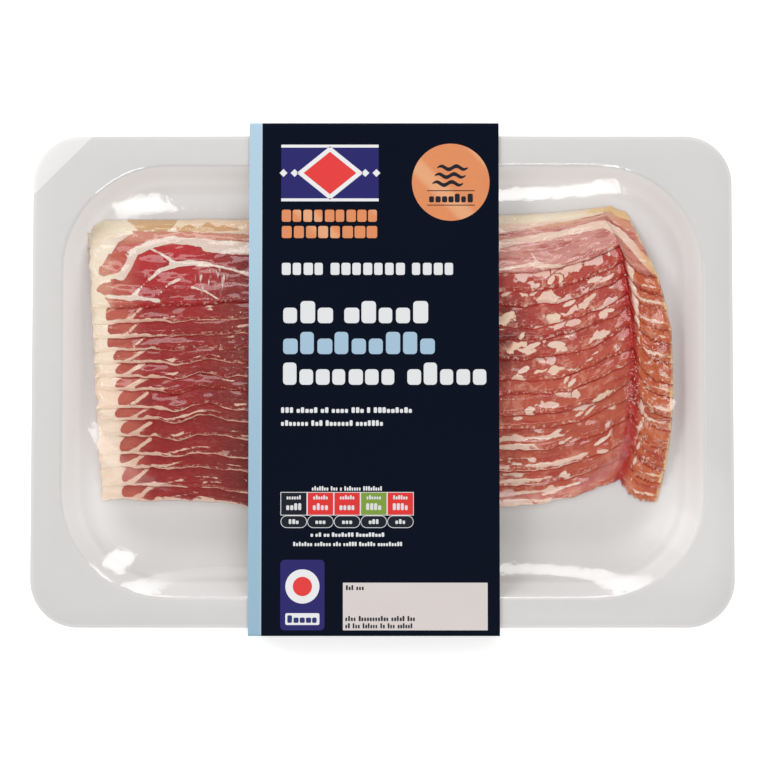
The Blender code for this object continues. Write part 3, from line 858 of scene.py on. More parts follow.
def tray_material(colour):
    """Frosted moulded plastic, a little lighter where the sealed corner was peeled, painted lighter on the
    walls and darker on the floor, with a painted glow in the recess.
    """
    material, shader, tree = new_material("frosted tray", Specular_IOR_Level=0.28, Emission_Strength=1.0)
    value, height = speckle(tree, 420.0, 16.0, 0.05)
    place = object_place(tree)
    upright = tree.split(place)
    peeled = tree.ramp(tree.less(upright[1], upright[0]), 0.2016, 0.2024)
    deep = tree.ramp(upright[2], FLANGE_TOP - 0.05 * MM, FLANGE_TOP - 1.2 * MM)
    foot = tree.ramp(upright[2], FLOOR_TOP + 6.0 * MM, FLOOR_TOP + 0.3 * MM)
    base = tree.mix(tree.times(peeled, 0.8), shaded(tree, colour, value), (0.84, 0.83, 0.82))
    # Painted light and shade: the one plastic made lighter on the walls and darker on the floor by the foot,
    # for how the light falls in the recess
    base = tree.mix(deep, base, shaded(tree, (0.78, 0.775, 0.77), value))
    base = tree.mix(foot, base, shaded(tree, (0.605, 0.588, 0.578), value))
    # Painted glow: the recess gives off light of its own on faces turned upwards
    light, shade = inner_light(tree, place, upright)
    light = tree.times(light, tree.times(shade, tree.higher(deep, foot)))
    facing_up = tree.split(tree.add("ShaderNodeNewGeometry").outputs["Normal"])[2]
    light = tree.times(tree.math("ADD", light, 0.045), tree.ramp(facing_up, 0.0, 0.2))
    tree.drive(
        shader, Base_Color=base, Emission_Color=tree.mix(light, BLACK, WHITE),
        Roughness=tree.line(height, 0.12, 0.28), Normal=tree.bump(height, 0.00004, 0.5))
    return material


def around(tree, place, centre, reach):
    """1 at a place on the pack, given in millimetres, falling to 0 at its reach."""
    moved = tree.stretch(
        place, Location=(-centre[0] / reach[0], -centre[1] / reach[1], 0.0),
        Scale=(1.0 / (reach[0] * MM), 1.0 / (reach[1] * MM), 0.0))
    return tree.ramp(tree.vector("LENGTH", moved, output="Value"), 1.0, 0.4)


def gloss_share(tree, place, normal):
    """How much the film reflects: more at a slant and off the meat, little at two calm places by the wall."""
    facing = tree.add("ShaderNodeLayerWeight", {"Blend": 0.5, "Normal": normal}).outputs["Facing"]
    share = tree.line(tree.math("POWER", facing, 5.0), 0.7, 0.034)
    x, y, _ = tree.split(place)
    across = tree.ramp(tree.size(x), 113.0 * MM, 104.0 * MM)
    over_meat = tree.times(across, tree.ramp(tree.size(tree.less(y, 6.0 * MM)), 61.0 * MM, 53.0 * MM))
    share = tree.times(share, tree.line(over_meat, -1.3, 1.6))
    calm = tree.higher(
        around(tree, place, (112.0, -56.0), (34.0, 34.0)), around(tree, place, (-64.0, -75.0), (30.0, 13.0)))
    return tree.times(share, tree.line(calm, -0.85, 1.0))


def painted_glint_share(tree, place):
    """Painted glints, white marks where the film clings: upright creases, flecks and, on the folded ends,
    wrinkles.
    """
    creases = tree.noise(tree.stretch(place, Scale=(1.0, 0.10, 0.4)), 750.0, 3.0, 0.6)
    streaks = tree.times(tree.ramp(creases, 0.56, 0.70), around(tree, place, (-64.5, 38.5), (8.5, 9.0)))
    spots = tree.higher(
        around(tree, place, (-55.0, 14.0), (9.0, 20.0)), around(tree, place, (101.0, 10.0), (13.0, 34.0)))
    spots = tree.higher(spots, tree.times(around(tree, place, (80.0, 25.0), (34.0, 34.0)), 0.7))
    flecks = tree.ramp(tree.noise(place, 1050.0, 2.0, 0.6), 0.665, 0.70)
    share = tree.higher(tree.times(streaks, 0.95), tree.times(flecks, spots))
    winding = tree.size(tree.less(tree.noise(place, 300.0, 2.0, 0.5, 1.2), 0.5))
    broken = tree.ramp(tree.noise(place, 420.0, 2.0, 0.5), 0.50, 0.58)
    wrinkle = tree.times(
        tree.ramp(winding, 0.045, 0.015), broken, around(tree, place, (102.0, -8.0), (11.0, 46.0)))
    return tree.higher(share, tree.times(wrinkle, 0.60))


def film_material():
    """Clear lidding film: mostly open, with a soft reflection and painted glints as faint white creases and
    flecks.
    """
    material, shader, tree = new_material("clear film")
    tree.tree.nodes.remove(shader)
    place = object_place(tree)
    relief = tree.line(tree.noise(place, 340.0, 3.0, 0.5), 0.25, tree.noise(place, 55.0, 3.0, 0.5))
    normal = tree.bump(relief, 0.0005, 0.45)
    gloss = tree.add("ShaderNodeBsdfGlossy", {"Color": WHITE, "Roughness": 0.07, "Normal": normal})
    clear = tree.add("ShaderNodeBsdfTransparent", {"Color": WHITE})
    painted_glint = tree.add("ShaderNodeBsdfDiffuse", {"Color": (1.0, 0.90, 0.80)})
    both = tree.blend(gloss_share(tree, place, normal), clear, gloss)
    # Painted glints: white diffuse marks mixed over the film
    surface = tree.blend(tree.times(painted_glint_share(tree, place), 0.75), both, painted_glint)
    tree.feed(tree.tree.nodes["Material Output"].inputs["Surface"], surface.outputs[0])
    return material


def card_material(colour, stripe):
    """Dark printed card with a pale stripe at its left and bare board on its cut edges and inside."""
    material, shader, tree = new_material("printed card", Specular_IOR_Level=0.05)
    value, height = speckle(tree, 1500.0, 12.0, 0.12)
    along, up, _ = tree.split(object_place(tree))
    # The stripe darker towards the bottom of the panel
    graded = tree.mix(tree.ramp(up, -95.0 * MM, 95.0 * MM), (0.78, 0.86, 0.88), (1.08, 1.07, 1.06))
    pale = tree.tint(1.0, shaded(tree, stripe, value), graded)
    stripe_end = SLEEVE_LEFT + STRIPE_WIDTH
    tone = tree.mix(tree.math("LESS_THAN", along, stripe_end), shaded(tree, colour, value), pale)
    near_line = tree.math("LESS_THAN", tree.size(tree.less(along, stripe_end)), 0.22 * MM)
    tone = tree.mix(tree.times(near_line, 0.55), tone, (0.62, 0.74, 0.82))
    bare = tree.math("GREATER_THAN", tree.stored("board"), 0.5)
    tree.drive(
        shader, Base_Color=tree.mix(bare, tone, shaded(tree, (0.62, 0.60, 0.56), value)),
        Roughness=tree.line(height, 0.16, 0.40), Normal=tree.bump(height, 0.00002, 0.35))
    return material


def ink_material(name, colour, roughness):
    """Flat print ink on card."""
    material, shader, tree = new_material(name, Specular_IOR_Level=0.3)
    value, height = speckle(tree, 1500.0, 60.0, 0.06)
    tree.drive(shader, Base_Color=shaded(tree, colour, value), Roughness=tree.line(height, 0.12, roughness))
    return material


def foil_material(colour):
    """Copper foil print with a soft diagonal sheen painted into its colour."""
    material, shader, tree = new_material("copper foil", Specular_IOR_Level=0.6)
    x, y, _ = tree.split(object_place(tree))
    sweep = tree.math("SINE", tree.line(tree.math("ADD", x, y), 210.0, 0.8))
    value, height = speckle(tree, 1200.0, 90.0, 0.10)
    sheen = tree.times(tree.ramp(sweep, 0.35, 1.0), 0.5)
    tree.drive(
        shader, Base_Color=tree.mix(sheen, shaded(tree, colour, value), (0.86, 0.50, 0.28)),
        Roughness=tree.line(height, 0.1, 0.28))
    return material


# ---------------------------------------------------------------- operators


class PACK_OT_tray(bpy.types.Operator):
    """Moulded tray: rounded flange, lip, sloped walls and a radiused foot"""

    bl_idname = "pack.tray"
    bl_label = "Tray"

    def execute(self, context):
        colours = context.scene.pack_colours
        clear_selection()
        bpy.ops.mesh.primitive_plane_add(size=1, location=(0.0, TRAY_Y, FLANGE_TOP))
        piece = context.active_object
        piece.name = "tray_moulded"
        piece.data.name = "tray_moulded"
        bpy.ops.object.transform_apply(location=True, rotation=True, scale=True)
        bpy.ops.object.mode_set(mode="EDIT")
        bpy.ops.transform.resize(value=(TRAY_LENGTH, TRAY_WIDTH, 1.0))
        bpy.ops.mesh.bevel(offset=TRAY_CORNER, segments=20, affect="VERTICES", clamp_overlap=False)
        bpy.ops.mesh.inset(thickness=FLANGE - 2.4 * MM, depth=0.0)
        bpy.ops.mesh.delete(type="ONLY_FACE")
        bpy.ops.mesh.primitive_plane_add(size=1, location=(0.0, TRAY_Y, FLANGE_TOP))
        length = TRAY_LENGTH - 2 * FLANGE
        width = TRAY_WIDTH - 2 * FLANGE
        bpy.ops.transform.resize(value=(length, width, 1.0))
        bpy.ops.mesh.bevel(offset=RECESS_CORNER, segments=20, affect="VERTICES", clamp_overlap=False)
        for (inset, height), (further, lower) in zip(TRAY_WALL, TRAY_WALL[1:]):
            bpy.ops.mesh.inset(thickness=(further - inset) * MM, depth=(lower - height) * MM)
        bpy.ops.object.mode_set(mode="OBJECT")
        self.join_flange(piece)
        thicken(piece, "wall", SHEET)
        round_edge = piece.modifiers.new("edge", "BEVEL")
        round_edge.width = 0.16 * MM
        round_edge.segments = 2
        round_edge.limit_method = "ANGLE"
        round_edge.angle_limit = math.radians(60)
        apply_all(piece)
        piece.data.uv_layers.remove(piece.data.uv_layers[0])
        smooth_by_angle(piece, 40)
        finish_piece(piece, tray_material(colours.tray), ("tray",))
        return {"FINISHED"}

    def join_flange(self, piece):
        """Bridges the flange's inner outline to the recess's outline."""
        bpy.ops.object.mode_set(mode="EDIT")
        shell = bmesh.from_edit_mesh(piece.data)
        for edge in shell.edges:
            edge.select_set(False)
        for face in shell.faces:
            face.select_set(False)
        inside = TRAY_WIDTH / 2 - 1.0 * MM
        for edge in shell.edges:
            open_edge = len(edge.link_faces) == 1
            middle = (edge.verts[0].co + edge.verts[1].co) / 2
            outer = abs(middle.y) > inside - abs(TRAY_Y) or abs(middle.x) > TRAY_LENGTH / 2 - 1.0 * MM
            corner = self.outline_distance(middle.x, middle.y)
            if open_edge and not (outer or corner < 1.0 * MM):
                edge.select_set(True)
        bmesh.update_edit_mesh(piece.data)
        bpy.ops.mesh.bridge_edge_loops()
        bpy.ops.mesh.select_all(action="SELECT")
        bpy.ops.mesh.remove_doubles(threshold=1e-6)
        bpy.ops.mesh.normals_make_consistent(inside=False)
        shell = bmesh.from_edit_mesh(piece.data)
        if sum(face.normal.z for face in shell.faces) < 0:
            bpy.ops.mesh.flip_normals()
        bpy.ops.object.mode_set(mode="OBJECT")

    def outline_distance(self, x, y):
        """Distance in from the flange's rounded outline."""
        dx = abs(x) - (TRAY_LENGTH / 2 - TRAY_CORNER)
        dy = abs(y - TRAY_Y) - (TRAY_WIDTH / 2 - TRAY_CORNER)
        if dx > 0 and dy > 0:
            return TRAY_CORNER - math.hypot(dx, dy)
        return TRAY_CORNER - max(dx, dy)


# A rasher's points share one record of places. x and y lie in plan and laid is the line across the pile.
# inward is the distance from the lower edge. run, past and to_end are millimetres along the rasher: from
# its left end, beyond the crease and up to its right end.


class PACK_OT_rashers(bpy.types.Operator):
    """Fourteen streaky rashers, each shingled on the one below it"""

    bl_idname = "pack.rashers"
    bl_label = "Rashers"

    def execute(self, context):
        sizes = context.scene.pack_sizes
        material = bacon_material()
        for order in range(RASHERS):
            self.make_rasher(order, sizes, material)
        return {"FINISHED"}

    def make_rasher(self, order, sizes, material):
        piece, at = self.start_rasher(order, sizes)
        self.lay_rasher(piece, at, sizes)
        self.paint_rasher(piece, at, sizes)
        merge_and_smooth(piece, 0.004 * MM)
        finish_piece(piece, material, (f"rasher_{RASHERS - order:02d}",))

    def start_rasher(self, order, sizes):
        """A rasher's grid, wrapped round from its upper to its under side, and each point's place in plan."""
        rim = sizes.edge_round
        at = SimpleNamespace(order=order, top=order == RASHERS - 1)
        at.shares = rasher_columns(sizes.rasher_columns)
        rows = rasher_rows(order, rim)
        loop = np.concatenate([rows[::-1], rows[1:]])
        name = f"bacon_{RASHERS - order:02d}"
        piece, at.column, row = start_grid(name, len(at.shares) - 1, len(loop) - 1)
        at.upper_side = row < len(rows)
        at.share = at.shares[at.column]
        at.inward = loop[row]
        at.nominal = lower_edge(order) + at.inward
        crease = crease_at(at.nominal)
        left = left_outline(at.nominal)
        right = right_outline(at.nominal)
        past_share = np.maximum(at.share - 1.0, 0.0)
        x = left + (crease - left) * np.minimum(at.share, 1.0) + (right - crease) * past_share
        at.laid = self.laid_line(at, x, sizes)
        ends = wander(rows / MM, 3.5, order + 60)
        end_shift = 0.7 * MM * ends[np.where(at.upper_side, len(rows) - 1 - row, row - len(rows) + 1)]
        at.x = x + end_shift * np.exp(-((x - left) / (6.0 * MM)) ** 2)
        at.y = plan_y(at.x, at.laid)
        at.body = self.rounding(at.inward, rim) * self.rounding(SPAN - at.inward, rim)
        at.body = at.body * self.rounding(at.x - left - end_shift, rim) * self.rounding(right - at.x, rim)
        at.run = (at.x - left) / MM
        at.past = (at.x - crease) / MM
        at.to_end = (right - at.x) / MM
        at.right = right
        return piece, at

    def laid_line(self, at, x, sizes):
        """Each point's line across the pile, with the cut edges wandering."""
        fade_in = 1.0 - smooth_step(at.inward / (4.0 * MM))
        lines = self.edge_lines(at.shares, at.order)[at.column]
        laid = at.nominal + sizes.edge_wave * lines * fade_in * smooth_step((2.0 - at.share) / 0.3)
        laid = laid + uneven(at.order, x, at.inward)
        if at.top:
            fade_up = smooth_step((at.inward - SPAN + 5.0 * MM) / (5.0 * MM))
            laid = laid + 0.5 * sizes.edge_wave * wander(at.shares * 190.0, 14.0, 77)[at.column] * fade_up
        return laid

    def lay_rasher(self, piece, at, sizes):
        """Lays a rasher on the pile, with a soft relief and its fat standing a little proud."""
        relief = sizes.surface_swell * swell(at.x, at.laid, 11.0 * MM, 4.5 * MM, at.order)
        relief = relief + 0.45 * sizes.surface_swell * swell(at.x, at.laid, 3.6 * MM, 2.0 * MM, at.order + 40)
        generator = np.random.default_rng(411 + at.order)
        if at.top:
            at.marbling = top_marbling(at.x / MM, at.y / MM, at.run)
        else:
            at.marbling = strip_marbling(at.order, at.run, at.inward / MM, at.past, generator)
        proud = 0.12 * MM * smooth_step(at.marbling + 0.5) * at.upper_side
        lift = (THICKNESS * at.upper_side + relief + proud) * at.body
        pressed = squeeze(at.x, at.nominal)
        base = stack_base(at.laid, at.order)
        z = FLOOR_TOP + GAP + (base + lift) * pressed
        place_x, place_y = settle_outwards(at.x, at.y, z)
        under = FLOOR_TOP + GAP + base * pressed
        z = z + np.maximum(tray_surface(place_x, place_y) + 0.15 * MM - under, 0.0)
        move_vertices(piece, place_x, place_y, z)

    def paint_rasher(self, piece, at, sizes):
        """Keeps on the mesh what the meat's material reads."""
        store_uv(piece, at.x, at.laid)
        store_value(piece, "seed", np.full(len(at.x), 0.37 * at.order))
        store_value(piece, "marbling", at.marbling)
        self.store_rind(piece, at)
        self.store_juice_and_shade(piece, at, sizes)
        chunks = smooth_step((at.x - 12.0 * MM) / (22.0 * MM)) * smooth_step((-3.0 - at.past) / 6.0)
        upper = smooth_step((upper_share(at.laid) - 0.30) / 0.26)
        chunks = chunks * (0.0 if at.top else 0.15 + 0.85 * upper)
        # Fewer lumps of fat in the painted shade right of the card
        store_value(piece, "chunks", chunks * (1.0 - 0.95 * card_shade_patch(at, 10.0 * MM)))
        # Edge: 1 by the cut edge on the upper side, where the painted glints and the painted glow gather
        before_fold = 0.5 + 0.5 * smooth_step((2.0 - at.past) / 4.0)
        store_value(piece, "edge", at.upper_side * hump(at.inward, 1.3 * MM) * before_fold)
        store_colour(piece, "lean", lean_colours(at))
        store_colour(piece, "fat", fat_colours(at))

    def edge_lines(self, shares, order):
        """How a rasher's cut edge wanders along its length."""
        return wander(shares * 190.0, 9.0, order + 1) + 0.55 * wander(shares * 190.0, 2.9, order + 31)

    def rounding(self, distance, rim):
        """Rounded rim: 0 at the very edge, 1 from the rim inwards."""
        return 1.0 - (1.0 - np.clip(distance / rim, 0.0, 1.0)) ** 1.7

    def store_rind(self, piece, at):
        """Ochre rind: along the right end, and on top a strip at the left that breaks into scallops."""
        rind = 0.62 * smooth_step((2.4 * MM - (at.right - at.x)) / (2.4 * MM))
        if at.top:
            depth = (SPAN - at.inward) / MM
            along = at.x / MM
            scallop = 2.6 + 0.9 * np.cos(along * 0.9) + 0.5 * np.cos(along * 0.43)
            block = smooth_step((along + 99.5 - 0.9 * depth) / 5.0)
            block = block * smooth_step((-76.5 - along - 0.7 * depth) / 2.5)
            bottom = 5.2 + 0.5 * np.sin(along * 0.8) + 0.4 * np.sin(along * 1.9)
            teeth = smooth_step((along + 79.0) / 2.0) * smooth_step((-52.0 - along) / 5.0)
            teeth = teeth * smooth_step((5.4 - depth) / 1.0) * smooth_step(depth - scallop + 0.6)
            corner = smooth_step((along - 66.0) / 20.0) * smooth_step((7.0 - depth) / 4.5)
            rind = np.maximum.reduce([rind, block * smooth_step((bottom - depth) / 1.4), teeth, corner])
        store_value(piece, "rind", rind)

    def store_juice_and_shade(self, piece, at, sizes):
        """Dark juice and painted shade: painted shadow under the next rasher's edge, juice and painted shade
        in the crease, painted shade on the hidden underside.
        """
        under_next = 0.0
        if not at.top:
            # Painted shadow: dark red just below where the next rasher's edge lies
            next_edge = lower_edge(at.order + 1) + uneven(at.order + 1, at.x, 0.0 * at.x)
            next_edge = next_edge + sizes.edge_wave * self.edge_lines(at.shares, at.order + 1)[at.column]
            gap = (next_edge - at.laid) / MM
            under_next = smooth_step((0.9 - gap) / 1.1) * smooth_step((at.run - 5.0) / 5.0)
        in_crease = hump(at.past + 0.2, 2.6) * (0.5 if at.top else 1.0)
        fade_up = smooth_step((9.0 * MM - at.inward) / (6.0 * MM)) if at.top else 1.0
        underside = np.where(at.upper_side, 0.0, 0.6) * smooth_step(at.inward / (0.9 * MM))
        store_value(piece, "juice", np.maximum(np.maximum(under_next, in_crease * fade_up), underside))


class PACK_OT_film(bpy.types.Operator):
    """Clear film sealed to the flange and drawn down over the rashers"""

    bl_idname = "pack.film"
    bl_label = "Film"

    def execute(self, context):
        sizes = context.scene.pack_sizes
        cell = sizes.film_cell
        length = TRAY_LENGTH - 2 * FILM_MARGIN
        width = TRAY_WIDTH - 2 * FILM_MARGIN
        columns = int(length / cell)
        rows = int(width / cell)
        xs = np.linspace(-length / 2, length / 2, columns + 1)
        ys = np.linspace(-width / 2, width / 2, rows + 1) + TRAY_Y
        grid_x, grid_y = np.meshgrid(xs, ys, indexing="ij")
        wall = tray_surface(grid_x, grid_y)
        ground = np.maximum(wall, self.stack_surface(grid_x, grid_y, wall)) + 0.12 * MM
        sealed = FLANGE_TOP + 0.08 * MM
        heights = self.drape(ground, sealed, cell, sizes.film_tension)
        piece, column, row = start_grid("lidding_film", columns, rows)
        x, y = self.round_corners(xs[column], ys[row], length, width)
        move_vertices(piece, x, y, heights[column, row])
        select_only(piece)
        bpy.ops.object.shade_smooth()
        finish_piece(piece, film_material(), ("film",))
        return {"FINISHED"}

    def round_corners(self, x, y, length, width):
        """Pulls the square grid's corners in to the flange's rounded outline."""
        corner = TRAY_CORNER - FILM_MARGIN
        dx = np.abs(x) - (length / 2 - corner)
        dy = np.abs(y - TRAY_Y) - (width / 2 - corner)
        both = (dx > 0) & (dy > 0)
        longest = np.maximum(dx, dy)
        scale = np.where(both, longest / np.maximum(np.hypot(dx, dy), 1e-9), 1.0)
        x = np.where(both, np.sign(x) * (length / 2 - corner + dx * scale), x)
        y = np.where(both, TRAY_Y + np.sign(y - TRAY_Y) * (width / 2 - corner + dy * scale), y)
        return x, y

    def stack_surface(self, place_x, place_y, wall):
        """Upper envelope of the pile of rashers."""
        x = place_x.copy()
        y = place_y.copy()
        laid = y.copy()
        for _ in range(4):
            for _ in range(6):
                laid = laid + y - plan_y(x, laid)
            rising, falling = self.steps_from_edges(laid)
            layers = np.clip(np.minimum(rising, falling), 0.0, 6.0) + 1.0
            top = FLOOR_TOP + GAP + STACK_STEP * layers * squeeze(x, laid)
            moved_x, moved_y = settle_outwards(x, y, top)
            x = x + place_x - moved_x
            y = y + place_y - moved_y
        rising, falling = self.steps_from_edges(laid)
        layers = np.minimum(np.minimum(rising, falling), 6.0) + 1.0
        height = FLOOR_TOP + GAP + STACK_STEP * layers * squeeze(x, laid)
        inside = (rising > 0.0) & (falling > 0.0) & (x > left_outline(laid)) & (x < right_outline(laid))
        height = height - 0.5 * MM * smooth_step(rising % 1.0) * smooth_step((rising - 0.5) / 1.0)
        height = np.maximum(height, wall + 0.15 * MM + THICKNESS)
        return np.where(inside, height, 0.0)

    def steps_from_edges(self, laid):
        """How many rashers lie between a line of the pile and its lower and its upper edge."""
        return (laid - FIRST_EDGE) / PITCH, (LAST_EDGE - laid) / PITCH

    def drape(self, ground, sealed, cell, tension):
        """Lets the film settle: each point moves to its neighbours' mean, less the vacuum's pull, and rests
        on what is under it. It starts coarse and is refined, which is quicker than settling the full grid."""
        heights = None
        for level in (8, 4, 2, 1):
            rest = self.thin_out(ground, level)
            now = np.full(rest.shape, sealed)
            if heights is not None:
                now = self.resize(heights, rest.shape)
            pull = tension * (cell * level) ** 2 / 4.0
            for _ in range(SETTLING_ROUNDS):
                around = (now[:-2, 1:-1] + now[2:, 1:-1] + now[1:-1, :-2] + now[1:-1, 2:]) / 4.0
                now[1:-1, 1:-1] = np.minimum(np.maximum(around - pull, rest[1:-1, 1:-1]), sealed)
                now[0, :] = sealed
                now[-1, :] = sealed
                now[:, 0] = sealed
                now[:, -1] = sealed
            heights = now
        return heights

    def thin_out(self, ground, level):
        """Every so many points of a height grid."""
        if level == 1:
            return ground
        columns = np.linspace(0, ground.shape[0] - 1, ground.shape[0] // level).astype(int)
        rows = np.linspace(0, ground.shape[1] - 1, ground.shape[1] // level).astype(int)
        return ground[np.ix_(columns, rows)]

    def resize(self, heights, shape):
        """Linear refit of a height grid to a new number of points."""
        first = np.linspace(0, heights.shape[0] - 1, shape[0])
        second = np.linspace(0, heights.shape[1] - 1, shape[1])
        taller = np.array([np.interp(first, np.arange(heights.shape[0]), line) for line in heights.T]).T
        return np.array([np.interp(second, np.arange(heights.shape[1]), line) for line in taller])


class PACK_OT_sleeve(bpy.types.Operator):
    """Card sleeve folded round the tray and glued underneath"""

    bl_idname = "pack.sleeve"
    bl_label = "Sleeve"

    def execute(self, context):
        colours = context.scene.pack_colours
        outline = self.outline()
        piece, column, row = start_grid("card_sleeve", SLEEVE_COLUMNS, len(outline) - 1)
        x = SLEEVE_LEFT + (SLEEVE_RIGHT - SLEEVE_LEFT) * column / SLEEVE_COLUMNS
        move_vertices(piece, x, outline[row, 0], outline[row, 1])
        select_only(piece)
        bpy.ops.object.mode_set(mode="EDIT")
        bpy.ops.mesh.select_all(action="SELECT")
        shell = bmesh.from_edit_mesh(piece.data)
        upper = [face for face in shell.faces if face.calc_center_median().z > SLEEVE_TOP * 0.9]
        if sum(face.normal.z for face in upper) < 0:
            bpy.ops.mesh.flip_normals()
        bpy.ops.object.mode_set(mode="OBJECT")
        thicken(piece, "card", CARD)
        apply_all(piece)
        self.mark_board(piece)
        smooth_by_angle(piece, 35)
        finish_piece(piece, card_material(colours.card, colours.stripe), ("sleeve",))
        return {"FINISHED"}

    def outline(self):
        """The card's outer face seen along its length: outer panel, three folds, glue flap."""
        flap = CARD + GLUE
        folds = ((-1, 0.0, 1.5), (-1, CARD_TOP, 1.0), (1, CARD_TOP, 0.5), (1, flap, 0.0))
        stops = [(SEAM_EDGE, 0.0)]
        for side, height, start in folds:
            centre_y = side * (SLEEVE_HALF - FOLD_RADIUS)
            centre_z = height + (FOLD_RADIUS if start in (1.5, 0.0) else -FOLD_RADIUS)
            for step in range(9):
                angle = math.pi * (start - 0.5 * step / 8)
                out, up = FOLD_RADIUS * math.cos(angle), FOLD_RADIUS * math.sin(angle)
                stops.append((centre_y + out, centre_z + up))
        stops.append((FLAP_END, flap))
        points = [stops[0]]
        for (ay, az), (by, bz) in zip(stops, stops[1:]):
            pieces = max(int(math.hypot(by - ay, bz - az) / (8 * MM)), 1)
            for step in range(1, pieces + 1):
                points.append((ay + (by - ay) * step / pieces, az + (bz - az) * step / pieces))
        return np.array(points)

    def mark_board(self, piece):
        """Bare board: the inner face and the cut edges."""
        data = piece.data
        values = np.zeros(len(data.polygons), dtype=np.float32)
        middle = SLEEVE_TOP / 2
        for index, face in enumerate(data.polygons):
            normal, centre = face.normal, face.center
            cut = abs(normal.x) > 0.7
            inward = (
                (centre.z > middle and normal.z < -0.3) or (centre.z < middle and normal.z > 0.3)
                or (abs(centre.y) > SLEEVE_HALF - 2 * MM and normal.y * centre.y < 0 and abs(normal.z) < 0.9))
            values[index] = 1.0 if cut or inward else 0.0
        layer = data.attributes.new("board", "FLOAT", "FACE")
        layer.data.foreach_set("value", values)


class PrintLayer:
    """One ink: flat rounded plates gathered in a single piece that lies on the card."""

    def __init__(self, name, level):
        self.name = name
        self.bottom = CARD_TOP + PRINT_LIFT + level * (INK + PRINT_LIFT)
        self.shell = bmesh.new()

    def plate(self, outline):
        """A thin plate from its outline, counter-clockwise from above."""
        lower = [self.shell.verts.new((x, y, self.bottom)) for x, y in outline]
        upper = [self.shell.verts.new((x, y, self.bottom + INK)) for x, y in outline]
        count = len(outline)
        self.shell.faces.new(upper)
        self.shell.faces.new(lower[::-1])
        for i in range(count):
            k = (i + 1) % count
            self.shell.faces.new((lower[i], lower[k], upper[k], upper[i]))

    def bar(self, x0, x1, y0, y1, radius=0.2, steps=3):
        """A rounded rectangle in millimetres from the sleeve's left edge and lower edge of the top panel."""
        radius = min(radius, (x1 - x0) / 2.001, (y1 - y0) / 2.001)
        points = []
        for cx, cy, start in ((x1 - radius, y1 - radius, 0.0), (x0 + radius, y1 - radius, 0.5),
                              (x0 + radius, y0 + radius, 1.0), (x1 - radius, y0 + radius, 1.5)):
            for step in range(steps + 1):
                angle = math.pi * (start + 0.5 * step / steps)
                points.append((cx + radius * math.cos(angle), cy + radius * math.sin(angle)))
        self.plate([on_card(x, y) for x, y in points])

    def polygon(self, points):
        self.plate([on_card(x, y) for x, y in points])

    def disc(self, x, y, radius, steps=64):
        angles = [2 * math.pi * step / steps for step in range(steps)]
        self.polygon([(x + radius * math.cos(a), y + radius * math.sin(a)) for a in angles])

    def build(self, material):
        data = bpy.data.meshes.new(self.name)
        self.shell.to_mesh(data)
        self.shell.free()
        piece = bpy.data.objects.new(self.name, data)
        bpy.context.collection.objects.link(piece)
        finish_piece(piece, material, ())


def on_card(x, y):
    """From millimetres on the top panel, from its lower left corner, to the frame."""
    return SLEEVE_LEFT + x * MM, y * MM - SLEEVE_HALF


def word_blocks(layer, x0, x1, y0, cap, seed, gap=0.28, words=(1,), low=0.70):
    """A line of text stood in for by rounded blocks of uneven heights, in groups as long as words."""
    generator = np.random.default_rng(seed)
    space = cap * 0.42
    usable = (x1 - x0) - space * (len(words) - 1)
    unit = usable / sum(words)
    at = x0
    for count in words:
        for _ in range(count):
            tall = generator.uniform() < 0.34
            height = cap if tall else cap * low
            shrink = generator.uniform(0.88, 1.0)
            layer.bar(at + gap / 2, at + (unit - gap / 2) * shrink, y0, y0 + height, cap * 0.16)
            at += unit
        at += space


